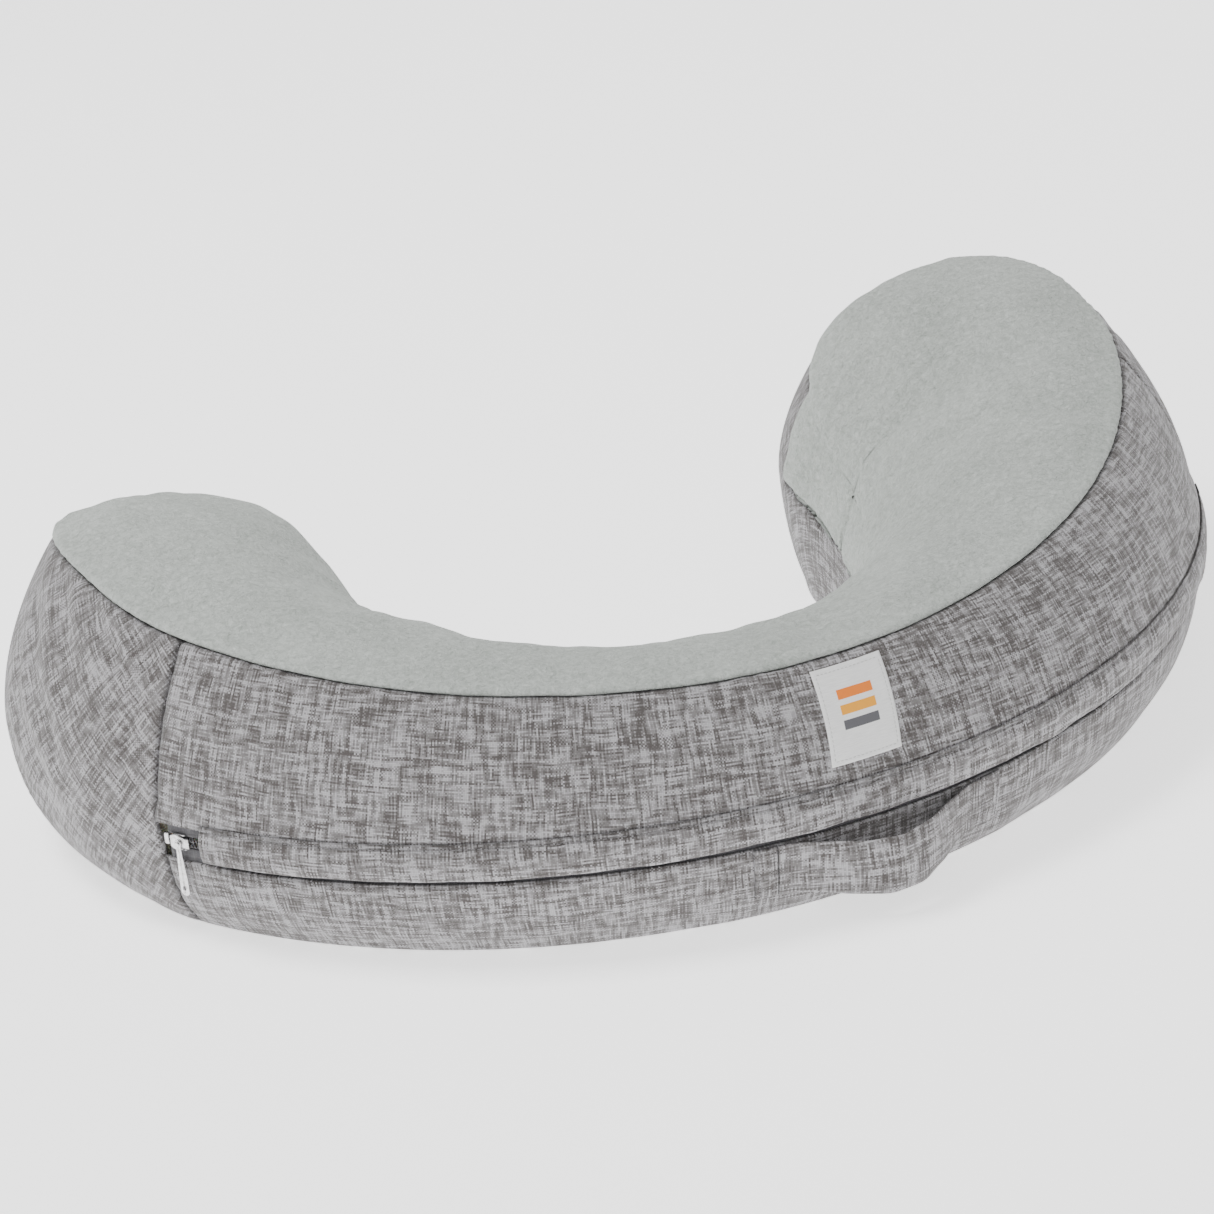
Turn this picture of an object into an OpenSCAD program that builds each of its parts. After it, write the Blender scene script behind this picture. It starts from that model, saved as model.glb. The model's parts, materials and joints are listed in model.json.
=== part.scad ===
// Crescent nursing pillow: a foam core in a zip-off fabric cover.
// X runs across the arms, Y towards the open bay, Z up, and the origin is under the middle of the outline.

/* [Plan] */
// Half the width across the top seam
half_w = 288; // [280:1:296]
// Radius of the side arcs of the top seam
side_r = 161; // [156:1:170]
// Angle from the front at which the front arc becomes a side arc
front_deg = 63.5; // [63.5:0.5:65]
// Angle from the front at which an arm's rounded end begins
arm_deg = 83.5; // [81:0.5:87]
// Length of the rounded end, along the arm
end_len = 97; // [85:1:105]
// Turn of the arm over its rounded end, in degrees
end_turn = 20; // [12:1:26]
// Squareness of the rounded end, 2 for an ellipse
end_power = 3.4; // [2.6:0.1:3.8]
// Half the width of the ring at the front
front_half = 61; // [56:1:66]
// Half the width of each arm
arm_half = 74; // [68:1:76]
// Angle from the front at which the ring starts to widen
widen_deg = 13; // [0:1:20]
// Angle from the front at which the ring has its full width
full_deg = 66; // [60:1:76]

/* [Heights] */
// Height of the top seam at the front
front_h = 118; // [110:1:126]
// Height that the top seam climbs towards at the arms
arm_h = 180; // [172:1:190]
// How late the top seam climbs, 1 for a straight ramp
climb_power = 1.7; // [1.3:0.1:2]
// Drop of the top seam over the rounded end
end_drop = 30; // [15:1:36]
// Height of the inner seam at the front
inner_front_h = 61; // [52:1:72]
// Height that the inner seam climbs towards at the arms
inner_arm_h = 101; // [88:1:115]
// Crown of the plush top at the front
front_crown = 5; // [3:1:12]
// Crown of the plush top at the arms
arm_crown = 16; // [8:1:20]
// How tightly the plush rolls over the inner edge
roll_power = 1.6; // [1.4:0.1:2.2]

/* [Walls] */
// Height of the zip seam, where the outer wall is widest
belt_z = 65; // [64:0.5:68]
// Bulge of the outer wall beyond the top seam, at the front
belt_out = 34.5; // [30:0.5:38]
// Bulge of the outer wall beyond the top seam, at the arms
arm_belt_out = 38.5; // [34:0.5:42]
// How far the base edge lies beyond the top seam, at the front
foot_out = 13; // [8:0.5:16]
// How far the base edge lies beyond the top seam, at the arms
arm_foot_out = 7; // [4:0.5:12]
// Bulge of the inner wall
inner_out = 8; // [6:0.5:12]
// How far the base edge lies beyond the inner seam
inner_foot_out = 6; // [0:0.5:6]
// Roundness of the wall between the belt and the top seam
wall_power = 1.7; // [1.4:0.1:2]

/* [Cover] */
// Thickness of the cover fabric
fabric_t = 1.6; // [1.2:0.1:2]
// Gap between the cover and the foam
cover_gap = 0.4; // [0.3:0.1:0.8]
// Angle from the front to each vertical seam of the outer wall
seam_deg = 63; // [61:0.5:63.5]
// Height of the lower band's top edge
band_z = 47; // [46:0.5:48]

/* [Zip] */
// Height of the middle of the zip
zip_z = 55.5; // [55:0.5:56.5]
// Depth of the zip's tape behind the cover's widest line
zip_depth = 3.5; // [3.4:0.1:3.6]
// Angle of the slider from the front when the zip is closed
slider_deg = -61; // [-61.3:0.1:-60.5]
// Angle from the front to the zip's far end
zip_end_deg = 61.5; // [60:0.1:62]
// Angle from the front at which the flap starts
flap_start_deg = -58.4; // [-58.5:0.1:-57]
// Height of the flap's free edge
flap_z = 49.5; // [49:0.1:50]
// Length of the zip pull
pull_len = 28; // [24:1:30]

/* [Handle] */
// Angle from the front to the handle's left end
handle_from_deg = -12.5; // [-14:0.1:-11]
// Angle from the front to the handle's right end
handle_to_deg = 10.5; // [9:0.1:12]
// Angle that each sewn end takes
tab_deg = 2; // [1.5:0.1:2.5]
// Height of the handle's top edge
strap_top_z = 45; // [44:0.5:45.5]
// Width of the handle strap
strap_w = 29; // [24:1:31]
// Thickness of the handle strap
strap_t = 2; // [1.6:0.1:2.4]
// How far the middle of the strap stands out from the cover
strap_bow = 14; // [11:1:15]
// How far the middle of the strap sags
strap_sag = 4; // [1:1:5]

/* [Label] */
// Angle from the front to the middle of the label
label_deg = -1.2; // [-4:0.1:4]
// Width of the label
label_w = 38; // [30:0.5:42]
// Lower edge of the label, as a share of the wall above the belt
label_low = 0.2; // [0.15:0.01:0.35]
// Upper edge of the label, as a share of the wall above the belt
label_high = 0.92; // [0.8:0.01:0.94]
// Lean of the label to the right at its top, in degrees round the front
label_skew_deg = 0.6; // [0:0.1:1]

/* [Hidden] */

// Colours of the fabrics and metals
weave_grey = [0.49, 0.47, 0.48];
plush_sage = [0.76, 0.78, 0.75];
foam_cream = [0.93, 0.90, 0.80];
tape_grey = [0.40, 0.39, 0.41];
thread_grey = [0.34, 0.33, 0.34];
satin_white = [0.93, 0.93, 0.92];
nickel = [0.80, 0.80, 0.82];

// Steps round the front, the sides and the rounded ends
front_steps = 18;
side_steps = 5;
end_steps = 10;
end_stop_deg = 88;
top_steps = 10;

// Lower rows of the wall as shares of the belt's height, and upper rows as shares of the rest
low_rows = [0, 0.03, 0.1, 0.25, 0.48, band_z / belt_z, 1];
up_rows = [0.2, 0.4, 0.6, 0.78, 0.92, 1];
band_row = 5;
belt_row = len(low_rows) - 1;
last_row = belt_row + len(up_rows);

front_r = side_r + (half_w - side_r) / sin(front_deg);
belt_r = front_r + belt_out;
rad = PI / 180;
end_r = end_len / (end_turn * rad);
run_share = 1 / (1 + arm_half * end_turn * rad / end_len);

function mix(a, b, t) = a + (b - a) * t;
function clamp(t) = min(1, max(0, t));
function smooth(t) = clamp(t) * clamp(t) * (3 - 2 * clamp(t));
function out_dir(deg) = [sin(deg), -cos(deg)];

// A station is [side, degrees from the front, share of the rounded end]
half_stations = concat(
  [for (i = [0:front_steps]) [seam_deg * i / front_steps, 0]],
  [for (i = [1:side_steps]) [mix(seam_deg, arm_deg, i / side_steps), 0]],
  [for (i = [1:end_steps]) let (q = pow(sin(end_stop_deg * i / end_steps), 2 / end_power))
    [arm_deg + end_turn * q, q]]);
half_n = len(half_stations);
stations = concat(
  [for (i = [half_n - 1:-1:1]) [-1, half_stations[i][0], half_stations[i][1]]],
  [for (i = [0:half_n - 1]) [1, half_stations[i][0], half_stations[i][1]]]);
n = len(stations);
mid = half_n - 1;
loop_n = 2 * n;

// Plan curve of the top seam, half width of the ring and its middle line, on the right-hand side
function seam_xy(deg) = deg <= front_deg ? front_r * out_dir(deg)
  : (front_r - side_r) * out_dir(front_deg) + side_r * out_dir(deg);
function half_width(deg) = mix(front_half, arm_half, smooth((deg - widen_deg) / (full_deg - widen_deg)));
function spine_xy(deg, q) = q == 0 ? seam_xy(deg) - half_width(deg) * out_dir(deg)
  : seam_xy(arm_deg) - arm_half * out_dir(arm_deg) + end_r * (out_dir(deg) - out_dir(arm_deg));
function narrowing(q) = pow(1 - pow(q, end_power), 1 / end_power);

// Share of the way from the front to the tip, along the top seam
function seam_run(deg) = rad * run_share
  * (deg <= front_deg ? front_r * deg : front_r * front_deg + side_r * (deg - front_deg));
function run(deg, q) = (seam_run(min(deg, arm_deg)) + end_len * q) / (seam_run(arm_deg) + end_len);
function climb(s) = pow(run(s[1], s[2]), climb_power);
function armness(s) = smooth((s[1] - seam_deg) / (arm_deg - seam_deg));

narrow = [for (s = stations) narrowing(s[2])];
// The tip's own edge is level, so that its cap is flat
level = [for (i = [0:n - 1]) i == 0 || i == n - 1 ? 0 : narrow[i]];
top_h = [for (s = stations) mix(front_h, arm_h, climb(s)) - end_drop * s[2] * s[2]];
inner_h = [for (i = [0:n - 1])
  mix(top_h[i], mix(inner_front_h, inner_arm_h, climb(stations[i])), level[i] * (1 - 0.3 * smooth(stations[i][2])))];
crown = [for (i = [0:n - 1]) level[i] * mix(front_crown, arm_crown, climb(stations[i]))];

// Closed loop of the top's outline: the outer edge, then the inner edge backwards
function edge_xy(s, e, way) =
  let (p = spine_xy(s[1], s[2]) + way * e * (s[2] == 0 ? half_width(s[1]) : arm_half) * out_dir(s[1]))
  [s[0] * p.x, p.y];
loop_xy = concat(
  [for (i = [0:n - 1]) edge_xy(stations[i], narrow[i], 1)],
  [for (i = [n - 1:-1:0]) edge_xy(stations[i], narrow[i], -1)]);
loop_dir = [for (k = [0:loop_n - 1])
  let (d = loop_xy[(k + 1) % loop_n] - loop_xy[(k + loop_n - 1) % loop_n]) [d.y, -d.x] / norm(d)];
function is_outer(k) = k < n;
function station_of(k) = is_outer(k) ? k : loop_n - 1 - k;
function inner_at(i) = loop_n - 1 - i;

// One point of the wall: loop place k, row r, d inside the surface, cut for a further groove
function wall_point(k, r, d, groove = 0) =
  let (i = station_of(k), s = stations[i], e2 = is_outer(k) ? 0 : narrow[i] * narrow[i],
    h = is_outer(k) ? top_h[i] : inner_h[i],
    z_wide = mix(belt_z, min(belt_z, 0.55 * inner_h[i]), e2),
    foot = mix(mix(foot_out, arm_foot_out, armness(s)), inner_foot_out, e2),
    bulge = mix(mix(belt_out, arm_belt_out, armness(s)), inner_out, e2),
    low = r <= belt_row,
    w = low ? low_rows[r] : up_rows[r - belt_row - 1],
    b = low ? mix(foot, bulge, sqrt(1 - pow(1 - w, 2))) : bulge * (1 - pow(w, wall_power)),
    z = low ? mix(d, z_wide, w) : mix(z_wide, h - d, w),
    cut = is_outer(k) && s[1] <= seam_deg && (r == band_row || r == belt_row) ? groove : 0,
    p = loop_xy[k] + (b - d - cut) * loop_dir[k])
  [p.x, p.y, z];

// One point of the plush top: station i, share u from the outer seam to the inner one
function top_point(i, u, d) =
  let (a = wall_point(i, last_row, d), b = wall_point(inner_at(i), last_row, d),
    p = mix(a, b, u),
    fall = 1 - pow(1 - pow(u, roll_power), 1 / roll_power),
    bow = sqrt(1 - pow(2 * u - 1, 2)))
  [p.x, p.y, mix(a.z, b.z, fall) + crown[i] * bow];
top_us = [for (j = [0:top_steps]) (1 - cos(180 * j / top_steps)) / 2];

y_back = max([for (p = [for (k = [0:loop_n - 1]) for (r = [0:last_row]) wall_point(k, r, 0)]) p.y]);

function split(a, b, c, d) = [[a, b, c], [a, c, d]];

// Closed skin between an outer and an inner grid of points, over the cells that has() picks
module skin(outer, inner, has = function(i, j) true) {
  rows = len(outer);
  cols = len(outer[0]);
  half = rows * cols;
  function at(i, j) = i * cols + j;
  points = [for (grid = [outer, inner]) for (line = grid) for (p = line) p];
  function cell(i, j) = i >= 0 && j >= 0 && i < rows - 1 && j < cols - 1 && has(i, j);
  cells = [for (i = [0:rows - 2]) for (j = [0:cols - 2]) if (cell(i, j)) [i, j]];
  outside = [for (c = cells) let (i = c[0], j = c[1])
    for (f = split(at(i, j), at(i, j + 1), at(i + 1, j + 1), at(i + 1, j))) f];
  inside = [for (c = cells) let (i = c[0], j = c[1])
    for (f = split(at(i, j), at(i + 1, j), at(i + 1, j + 1), at(i, j + 1))) [for (v = f) v + half]];
  function rim(v, w) = split(v, w, w + half, v + half);
  rims = [for (c = cells) let (i = c[0], j = c[1]) for (f = concat(
    cell(i - 1, j) ? [] : rim(at(i, j + 1), at(i, j)),
    cell(i + 1, j) ? [] : rim(at(i + 1, j), at(i + 1, j + 1)),
    cell(i, j - 1) ? [] : rim(at(i, j), at(i + 1, j)),
    cell(i, j + 1) ? [] : rim(at(i + 1, j + 1), at(i, j + 1))))
    f];
  polyhedron(points, concat(outside, inside, rims), convexity = 8);
}

// Skin of the wall from loop place k0 to k1 and from row r0 to r1
module wall_skin(k0, k1, r0, r1) {
  skin([for (k = [k0:k1]) [for (r = [r0:r1]) wall_point(k, r, 0)]],
    [for (k = [k0:k1]) [for (r = [r0:r1]) wall_point(k, r, fabric_t)]]);
}

// Everything is drawn round the front arc's centre and then moved to the origin
module placed() {
  translate([0, -y_mid, 0]) children();
}

module foam_core() {
  inset = fabric_t + cover_gap;
  groove = zip_depth + 1.4;
  rings = [for (i = [0:n - 1]) concat(
    [for (r = [0:last_row]) wall_point(i, r, inset, groove)],
    [for (j = [1:top_steps - 1]) top_point(i, top_us[j], inset)],
    [for (r = [last_row:-1:0]) wall_point(inner_at(i), r, inset)])];
  m = len(rings[0]);
  top_first = last_row;
  top_last = last_row + top_steps;
  round_faces = [for (i = [0:n - 2]) for (j = [0:m - 1])
    for (f = split(i * m + j, i * m + (j + 1) % m, (i + 1) * m + (j + 1) % m, (i + 1) * m + j)) f];
  cap = concat(
    [for (r = [0:last_row - 2]) for (f = split(m - 1 - r, m - 2 - r, r + 1, r)) f],
    [for (j = [top_first:top_last - 1]) [last_row - 1, j + 1, j]],
    [[last_row - 1, top_last + 1, top_last]]);
  caps = concat(cap, [for (f = cap) [for (v = [f[2], f[1], f[0]]) v + (n - 1) * m]]);
  color(foam_cream) placed()
    polyhedron([for (ring = rings) for (p = ring) p], concat(round_faces, caps), convexity = 8);
}

// Loop places of the vertical seams: outer left and right, inner right and left
seam_right = mid + front_steps;
seam_left = mid - front_steps;
inner_seam_steps = 4;
inner_right = inner_at(n - 1 - inner_seam_steps);
inner_left = inner_at(inner_seam_steps);

// The plush covers the top, and the inner wall between the end panels down to its widest line
module plush_top() {
  first = inner_seam_steps;
  last = n - 1 - inner_seam_steps;
  function grid(d) = [for (i = [0:n - 1]) concat(
    [for (u = top_us) top_point(i, u, d)],
    [for (r = [last_row - 1:-1:belt_row]) wall_point(inner_at(i), r, d)])];
  covers = function(i, j) j < top_steps || (i >= first && i < last);
  color(plush_sage) placed() skin(grid(0), grid(fabric_t), covers);
}

module outer_panel() {
  color(weave_grey) placed() wall_skin(seam_left, seam_right, belt_row, last_row);
}

module lower_band() {
  color(weave_grey) placed() wall_skin(seam_left, seam_right, 0, band_row);
}

module right_end_panel() {
  color(weave_grey) placed() wall_skin(seam_right, inner_right, 0, last_row);
}

module left_end_panel() {
  color(weave_grey) mirror([1, 0, 0]) placed() wall_skin(seam_right, inner_right, 0, last_row);
}

module inner_panel() {
  color(weave_grey) placed() wall_skin(inner_right, inner_left, 0, belt_row);
}

module base_panel() {
  function line(i, d) = let (a = wall_point(i, 0, d), b = wall_point(inner_at(i), 0, d)) [b, mix(b, a, 0.5), a];
  color(weave_grey) placed()
    skin([for (i = [0:n - 1]) line(i, 0)], [for (i = [0:n - 1]) line(i, fabric_t)]);
}

// Ring sector with a cross-section given as [radius, height] points
module arc(from, to, section) {
  rotate([0, 0, from - 90]) rotate_extrude(angle = to - from, $fn = 360) polygon(section);
}
module arc_box(from, to, r0, r1, z0, z1) {
  arc(from, to, [[r0, z0], [r1, z0], [r1, z1], [r0, z1]]);
}

zip_r = belt_r - zip_depth;
tape_t = 0.8;
tape_w = 8;
coil_gap = 1.2;
coil_w = 2.6;
coil_t = 2.4;
coil_far = coil_gap / 2 + coil_w;
zip_from_deg = slider_deg - 1.3;

// Slider: two plates joined by a wedge between the coils, with flanges round the coils
slider_deg_half = 0.95;
play = 0.3;
plate_t = 1.2;
plate_in = coil_t / 2 + play;
plate_out = plate_in + plate_t;
slider_half_h = coil_far + play + 0.7;
slider_top_r = zip_r + plate_out;
pull_t = 0.85;
pull_r = slider_top_r + play + pull_t / 2;
eye_r = 1.9;
pin_r = 0.6;
pin_play = 0.08;
rivet_t = 0.5;
rivet_r = 1.2;
rivet_out_r = pull_r + pull_t / 2 + play + rivet_t;

flap_t = 1.3;
flap_top_z = belt_z + 3;
flap_r = belt_r + 0.1;
flap_gap = 0.7;
flap_lift = rivet_out_r + flap_gap - flap_r;
flap_edge_lift = flap_lift + 0.4;

module zip_flap() {
  color(weave_grey) placed()
    arc(flap_start_deg, seam_deg - 0.2, [
      [flap_r, flap_top_z], [flap_r, belt_z], [flap_r + flap_lift, zip_z + 2],
      [flap_r + flap_edge_lift, flap_z], [flap_r + flap_edge_lift + flap_t, flap_z],
      [flap_r + flap_lift + flap_t, zip_z + 2], [flap_r + flap_t, belt_z], [flap_r + flap_t, flap_top_z]]);
}

module flap_topstitch() {
  color(thread_grey) placed()
    arc_box(flap_start_deg + 0.3, seam_deg - 0.5, flap_r + flap_t, flap_r + flap_t + 0.4,
      belt_z + 0.4, belt_z + 1);
}

module zip_tape_upper() {
  color(tape_grey) placed()
    arc_box(zip_from_deg, seam_deg - 0.4, zip_r - tape_t / 2, zip_r + tape_t / 2,
      zip_z + coil_far, zip_z + coil_far + tape_w);
}

module zip_tape_lower() {
  color(tape_grey) placed()
    arc_box(zip_from_deg, seam_deg - 0.4, zip_r - tape_t / 2, zip_r + tape_t / 2,
      zip_z - coil_far - tape_w, zip_z - coil_far);
}

module zip_coil(side) {
  z0 = zip_z + side * (coil_gap / 2 + coil_w / 2) - coil_w / 2;
  arc_box(zip_from_deg, zip_end_deg, zip_r - coil_t / 2, zip_r + coil_t / 2, z0, z0 + coil_w);
}

module zip_coil_upper() {
  color(tape_grey) placed() zip_coil(1);
}

module zip_coil_lower() {
  color(tape_grey) placed() zip_coil(-1);
}

// A closed clamp past the coil at each end
module zip_end_stops() {
  stop_deg = 0.5;
  color(nickel) placed() {
    arc_box(zip_end_deg, zip_end_deg + stop_deg, zip_r - coil_t / 2, zip_r + coil_t / 2,
      zip_z - coil_far, zip_z + coil_far);
    arc_box(zip_from_deg - stop_deg, zip_from_deg, zip_r - coil_t / 2, zip_r + coil_t / 2,
      zip_z - coil_far, zip_z + coil_far);
  }
}

// Draws its children with X along the zip, Z up, and the pull's middle plane at Y = 0
module at_slider() {
  rotate([0, 0, slider_deg]) translate([0, -pull_r, zip_z]) children();
}

// Round bar along Y, from radius r0 to radius r1 of the zip's circle
module rod(r0, r1, r) {
  translate([0, pull_r - r0, 0]) rotate([90, 0, 0]) cylinder(r = r, h = r1 - r0, $fn = 48);
}

module slider_body() {
  from = slider_deg - slider_deg_half;
  to = slider_deg + slider_deg_half;
  color(nickel) placed() {
    arc_box(from, to, zip_r + plate_in, slider_top_r, zip_z - slider_half_h, zip_z + slider_half_h);
    arc_box(from, to, zip_r - plate_out, zip_r - plate_in, zip_z - slider_half_h, zip_z + slider_half_h);
    arc_box(slider_deg - 0.2, slider_deg + 0.2, zip_r - plate_in, zip_r + plate_in,
      zip_z - coil_gap / 2 + play, zip_z + coil_gap / 2 - play);
    for (side = [-1, 1], face = [-1, 1]) {
      z0 = zip_z + side * (slider_half_h - 0.35) - 0.35;
      r0 = zip_r + face * (plate_in + tape_t / 2 + play) / 2;
      reach = (plate_in - tape_t / 2 - play) / 2;
      arc_box(from, to, r0 - reach, r0 + reach, z0, z0 + 0.7);
    }
  }
}

// Rivet that the pull hangs on: its shank stands on the slider and its head holds the pull
module slider_pin() {
  color(nickel) placed() at_slider() {
    rod(slider_top_r, rivet_out_r, pin_r);
    rod(rivet_out_r - rivet_t, rivet_out_r, rivet_r);
  }
}

// The pull hangs from its eye, in front of the band
module pull_tab() {
  end_w = 5;
  color(nickel) placed() at_slider()
    difference() {
      union() {
        rod(pull_r - pull_t / 2, pull_r + pull_t / 2, eye_r);
        translate([0, pull_t / 2, 0]) rotate([90, 0, 0]) linear_extrude(pull_t)
          difference() {
            polygon([[-eye_r * 0.8, 0], [eye_r * 0.8, 0], [end_w / 2, -pull_len + 2], [end_w / 2 - 1, -pull_len],
              [1 - end_w / 2, -pull_len], [-end_w / 2, -pull_len + 2]]);
            translate([0, 4 - pull_len]) circle(r = 1.1, $fn = 32);
          }
      }
      rod(pull_r - pull_t, pull_r + pull_t, pin_r + pin_play);
    }
}

// Radius of the lower band's face at height z
function band_r(z) = front_r + mix(foot_out, belt_out, sqrt(1 - pow(1 - z / belt_z, 2)));
function ring_point(r, deg, z) = [r * sin(deg), -r * cos(deg), z];

strap_lift = 0.35;
strap_gap_deg = 0.08;
strap_steps = 24;
strap_rows = 4;

// Point of the free strap: share t along it, share v down it, d outside its inner face
function strap_point(t, v, d) =
  let (bow = pow(sin(180 * t), 2), z = strap_top_z - strap_w * v - strap_sag * bow,
    deg = mix(handle_from_deg + tab_deg + strap_gap_deg, handle_to_deg - tab_deg - strap_gap_deg, t))
  ring_point(mix(band_r(z) + strap_lift, belt_r + strap_bow, bow) + d, deg, z);

// The outline's front is the handle's, and its back is the arms'
y_front = min([for (i = [0:strap_steps]) strap_point(i / strap_steps, 0, strap_t).y]);
y_mid = (y_front + y_back) / 2;

module handle_strap() {
  color(weave_grey) placed()
    skin([for (i = [0:strap_steps]) [for (j = [strap_rows:-1:0])
        strap_point(i / strap_steps, j / strap_rows, strap_t)]],
      [for (i = [0:strap_steps]) [for (j = [strap_rows:-1:0])
        strap_point(i / strap_steps, j / strap_rows, 0)]]);
}

// Patch on the band from one angle to another and from one height to another
module band_patch(from, to, z0, z1, lift, t, steps = 3) {
  function grid(d) = [for (i = [0:steps]) [for (j = [0:strap_rows])
    let (z = mix(z0, z1, j / strap_rows)) ring_point(band_r(z) + d, mix(from, to, i / steps), z)]];
  skin(grid(lift + t), grid(lift));
}

tab_lift = 0.1;
tab_z0 = strap_top_z - strap_w;

module handle_tab(from) {
  color(weave_grey) placed() band_patch(from, from + tab_deg, tab_z0, strap_top_z, tab_lift, strap_t);
}

module handle_tab_left() {
  handle_tab(handle_from_deg);
}

module handle_tab_right() {
  handle_tab(handle_to_deg - tab_deg);
}

// A sewn rectangle on each end of the handle
module handle_stitches() {
  thread_deg = 0.1;
  thread_w = 0.6;
  margin_deg = 0.3;
  margin = 2;
  lift = tab_lift + strap_t + 0.02;
  color(thread_grey) placed()
    for (from = [handle_from_deg + margin_deg, handle_to_deg - tab_deg + margin_deg]) {
      to = from + tab_deg - 2 * margin_deg;
      for (deg = [from, to - thread_deg])
        band_patch(deg, deg + thread_deg, tab_z0 + margin, strap_top_z - margin, lift, 0.35, 1);
      for (z = [tab_z0 + margin, strap_top_z - margin - thread_w])
        band_patch(from + thread_deg + 0.02, to - thread_deg - 0.02, z, z + thread_w, lift, 0.35, 1);
    }
}

function top_seam_z(deg) = mix(front_h, arm_h, pow(run(abs(deg), 0), climb_power));

// Point on the label: share u across, share v up, d outside the cover
function label_point(u, v, d) =
  let (w = mix(label_low, label_high, v), r = front_r + belt_out * (1 - pow(w, wall_power)) + d,
    deg = label_deg + label_skew_deg * (2 * v - 1) + (u - 0.5) * label_w / (r * rad))
  ring_point(r, deg, mix(belt_z, top_seam_z(deg), w));

module label_patch(u0, u1, v0, v1, d, t, cols, rows) {
  function grid(e) = [for (i = [0:cols]) [for (j = [0:rows])
    label_point(mix(u0, u1, i / cols), mix(v0, v1, j / rows), e)]];
  skin(grid(d + t), grid(d));
}

label_lift = 0.15;
label_t = 0.6;

module side_label() {
  color(satin_white) placed() label_patch(0, 1, 0, 1, label_lift, label_t, 4, 6);
}

// Rows of stitches just inside the label's four edges
module label_stitches() {
  lift = label_lift + label_t + 0.02;
  thread_t = 0.3;
  color(thread_grey) placed() {
    for (u = [0.05, 0.935])
      label_patch(u, u + 0.015, 0.04, 0.96, lift, thread_t, 1, 6);
    for (v = [0.04, 0.948])
      label_patch(0.067, 0.933, v, v + 0.012, lift, thread_t, 4, 1);
  }
}

foam_core();
plush_top();
outer_panel();
lower_band();
left_end_panel();
right_end_panel();
inner_panel();
base_panel();
zip_flap();
flap_topstitch();
zip_tape_upper();
zip_tape_lower();
zip_coil_upper();
zip_coil_lower();
zip_end_stops();
slider_body();
slider_pin();
pull_tab();
handle_strap();
handle_tab_left();
handle_tab_right();
handle_stitches();
side_label();
label_stitches();
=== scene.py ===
"""Nursing pillow. The cover's panels, zip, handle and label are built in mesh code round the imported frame.

The pillow's skin is one tube-shaped grid: signed coordinate a runs along the crescent from the left
tip (-3) over the front (0) to the right tip (3), and b runs round its section, up the outer wall,
over the plush top, down the inner wall and back under the base. Everything is in metres.
"""
import json
import math

import bmesh
import bpy
import numpy as np
from mathutils import Matrix, Vector


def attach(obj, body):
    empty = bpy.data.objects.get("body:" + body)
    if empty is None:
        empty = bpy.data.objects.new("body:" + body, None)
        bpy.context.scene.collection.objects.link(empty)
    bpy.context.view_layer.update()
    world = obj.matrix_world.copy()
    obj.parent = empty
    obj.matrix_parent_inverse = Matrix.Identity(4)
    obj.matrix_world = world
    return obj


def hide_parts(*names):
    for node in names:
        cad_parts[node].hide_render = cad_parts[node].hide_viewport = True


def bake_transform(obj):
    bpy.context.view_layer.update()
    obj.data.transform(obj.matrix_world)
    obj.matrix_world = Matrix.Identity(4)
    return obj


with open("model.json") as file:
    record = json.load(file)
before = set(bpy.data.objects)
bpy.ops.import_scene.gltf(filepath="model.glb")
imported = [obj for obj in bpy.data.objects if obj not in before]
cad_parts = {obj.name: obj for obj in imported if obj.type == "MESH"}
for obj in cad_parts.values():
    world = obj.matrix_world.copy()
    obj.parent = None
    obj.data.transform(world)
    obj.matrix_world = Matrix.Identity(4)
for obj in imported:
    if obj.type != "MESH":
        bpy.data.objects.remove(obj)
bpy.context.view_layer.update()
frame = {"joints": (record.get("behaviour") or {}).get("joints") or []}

# Plan of the crescent, as the frame has it
HALF_W, SIDE_R = 0.288, 0.161
FRONT_DEG, SEAM_DEG, ARM_DEG = 63.5, 63.0, 83.5
END_LEN, END_TURN, END_POWER = 0.097, 20.0, 3.4
FRONT_HALF, ARM_HALF = 0.061, 0.074
WIDEN_DEG, FULL_DEG = 13.0, 66.0

# Heights and walls
FRONT_H, ARM_H, CLIMB_POWER, END_DROP = 0.118, 0.180, 1.7, 0.030
INNER_FRONT_H, INNER_ARM_H, TIP_FILL = 0.061, 0.101, 0.3
FRONT_CROWN, ARM_CROWN, ROLL_POWER = 0.005, 0.016, 1.6
BELT_Z, BAND_Z = 0.065, 0.047
BELT_OUT, ARM_BELT_OUT = 0.0345, 0.0385
FOOT_OUT, ARM_FOOT_OUT = 0.013, 0.007
INNER_OUT, INNER_FOOT_OUT, WALL_POWER = 0.008, 0.006, 1.7
FABRIC_T = 0.0016

FRONT_R = SIDE_R + (HALF_W - SIDE_R) / math.sin(math.radians(FRONT_DEG))
BELT_R = FRONT_R + BELT_OUT
END_R = END_LEN / math.radians(END_TURN)
RUN_SHARE = 1 / (1 + ARM_HALF / END_R)

# The zip's joint stands on the axis of the front arc
JOINTS = {j["name"]: j for j in frame["joints"]}
CENTRE_Y = JOINTS["slider_travel"]["pos_m"][1]
ZIP_Z = JOINTS["slider_travel"]["pos_m"][2]

# Places round the skin's section
OUTER_FOOT, BELT, TOP_SEAM, INNER_SEAM, INNER_WIDE, INNER_FOOT, ROUND = range(7)
TIP = 3.0
INNER_CUT = 2.53  # where the inner panel meets the end panels


def mix(a, b, t):
    return a + (b - a) * t


def smooth(t):
    t = np.clip(t, 0, 1)
    return t * t * (3 - 2 * t)


def out_dir(deg):
    r = np.radians(deg)
    return np.stack([np.sin(r), -np.cos(r)], -1)


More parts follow.
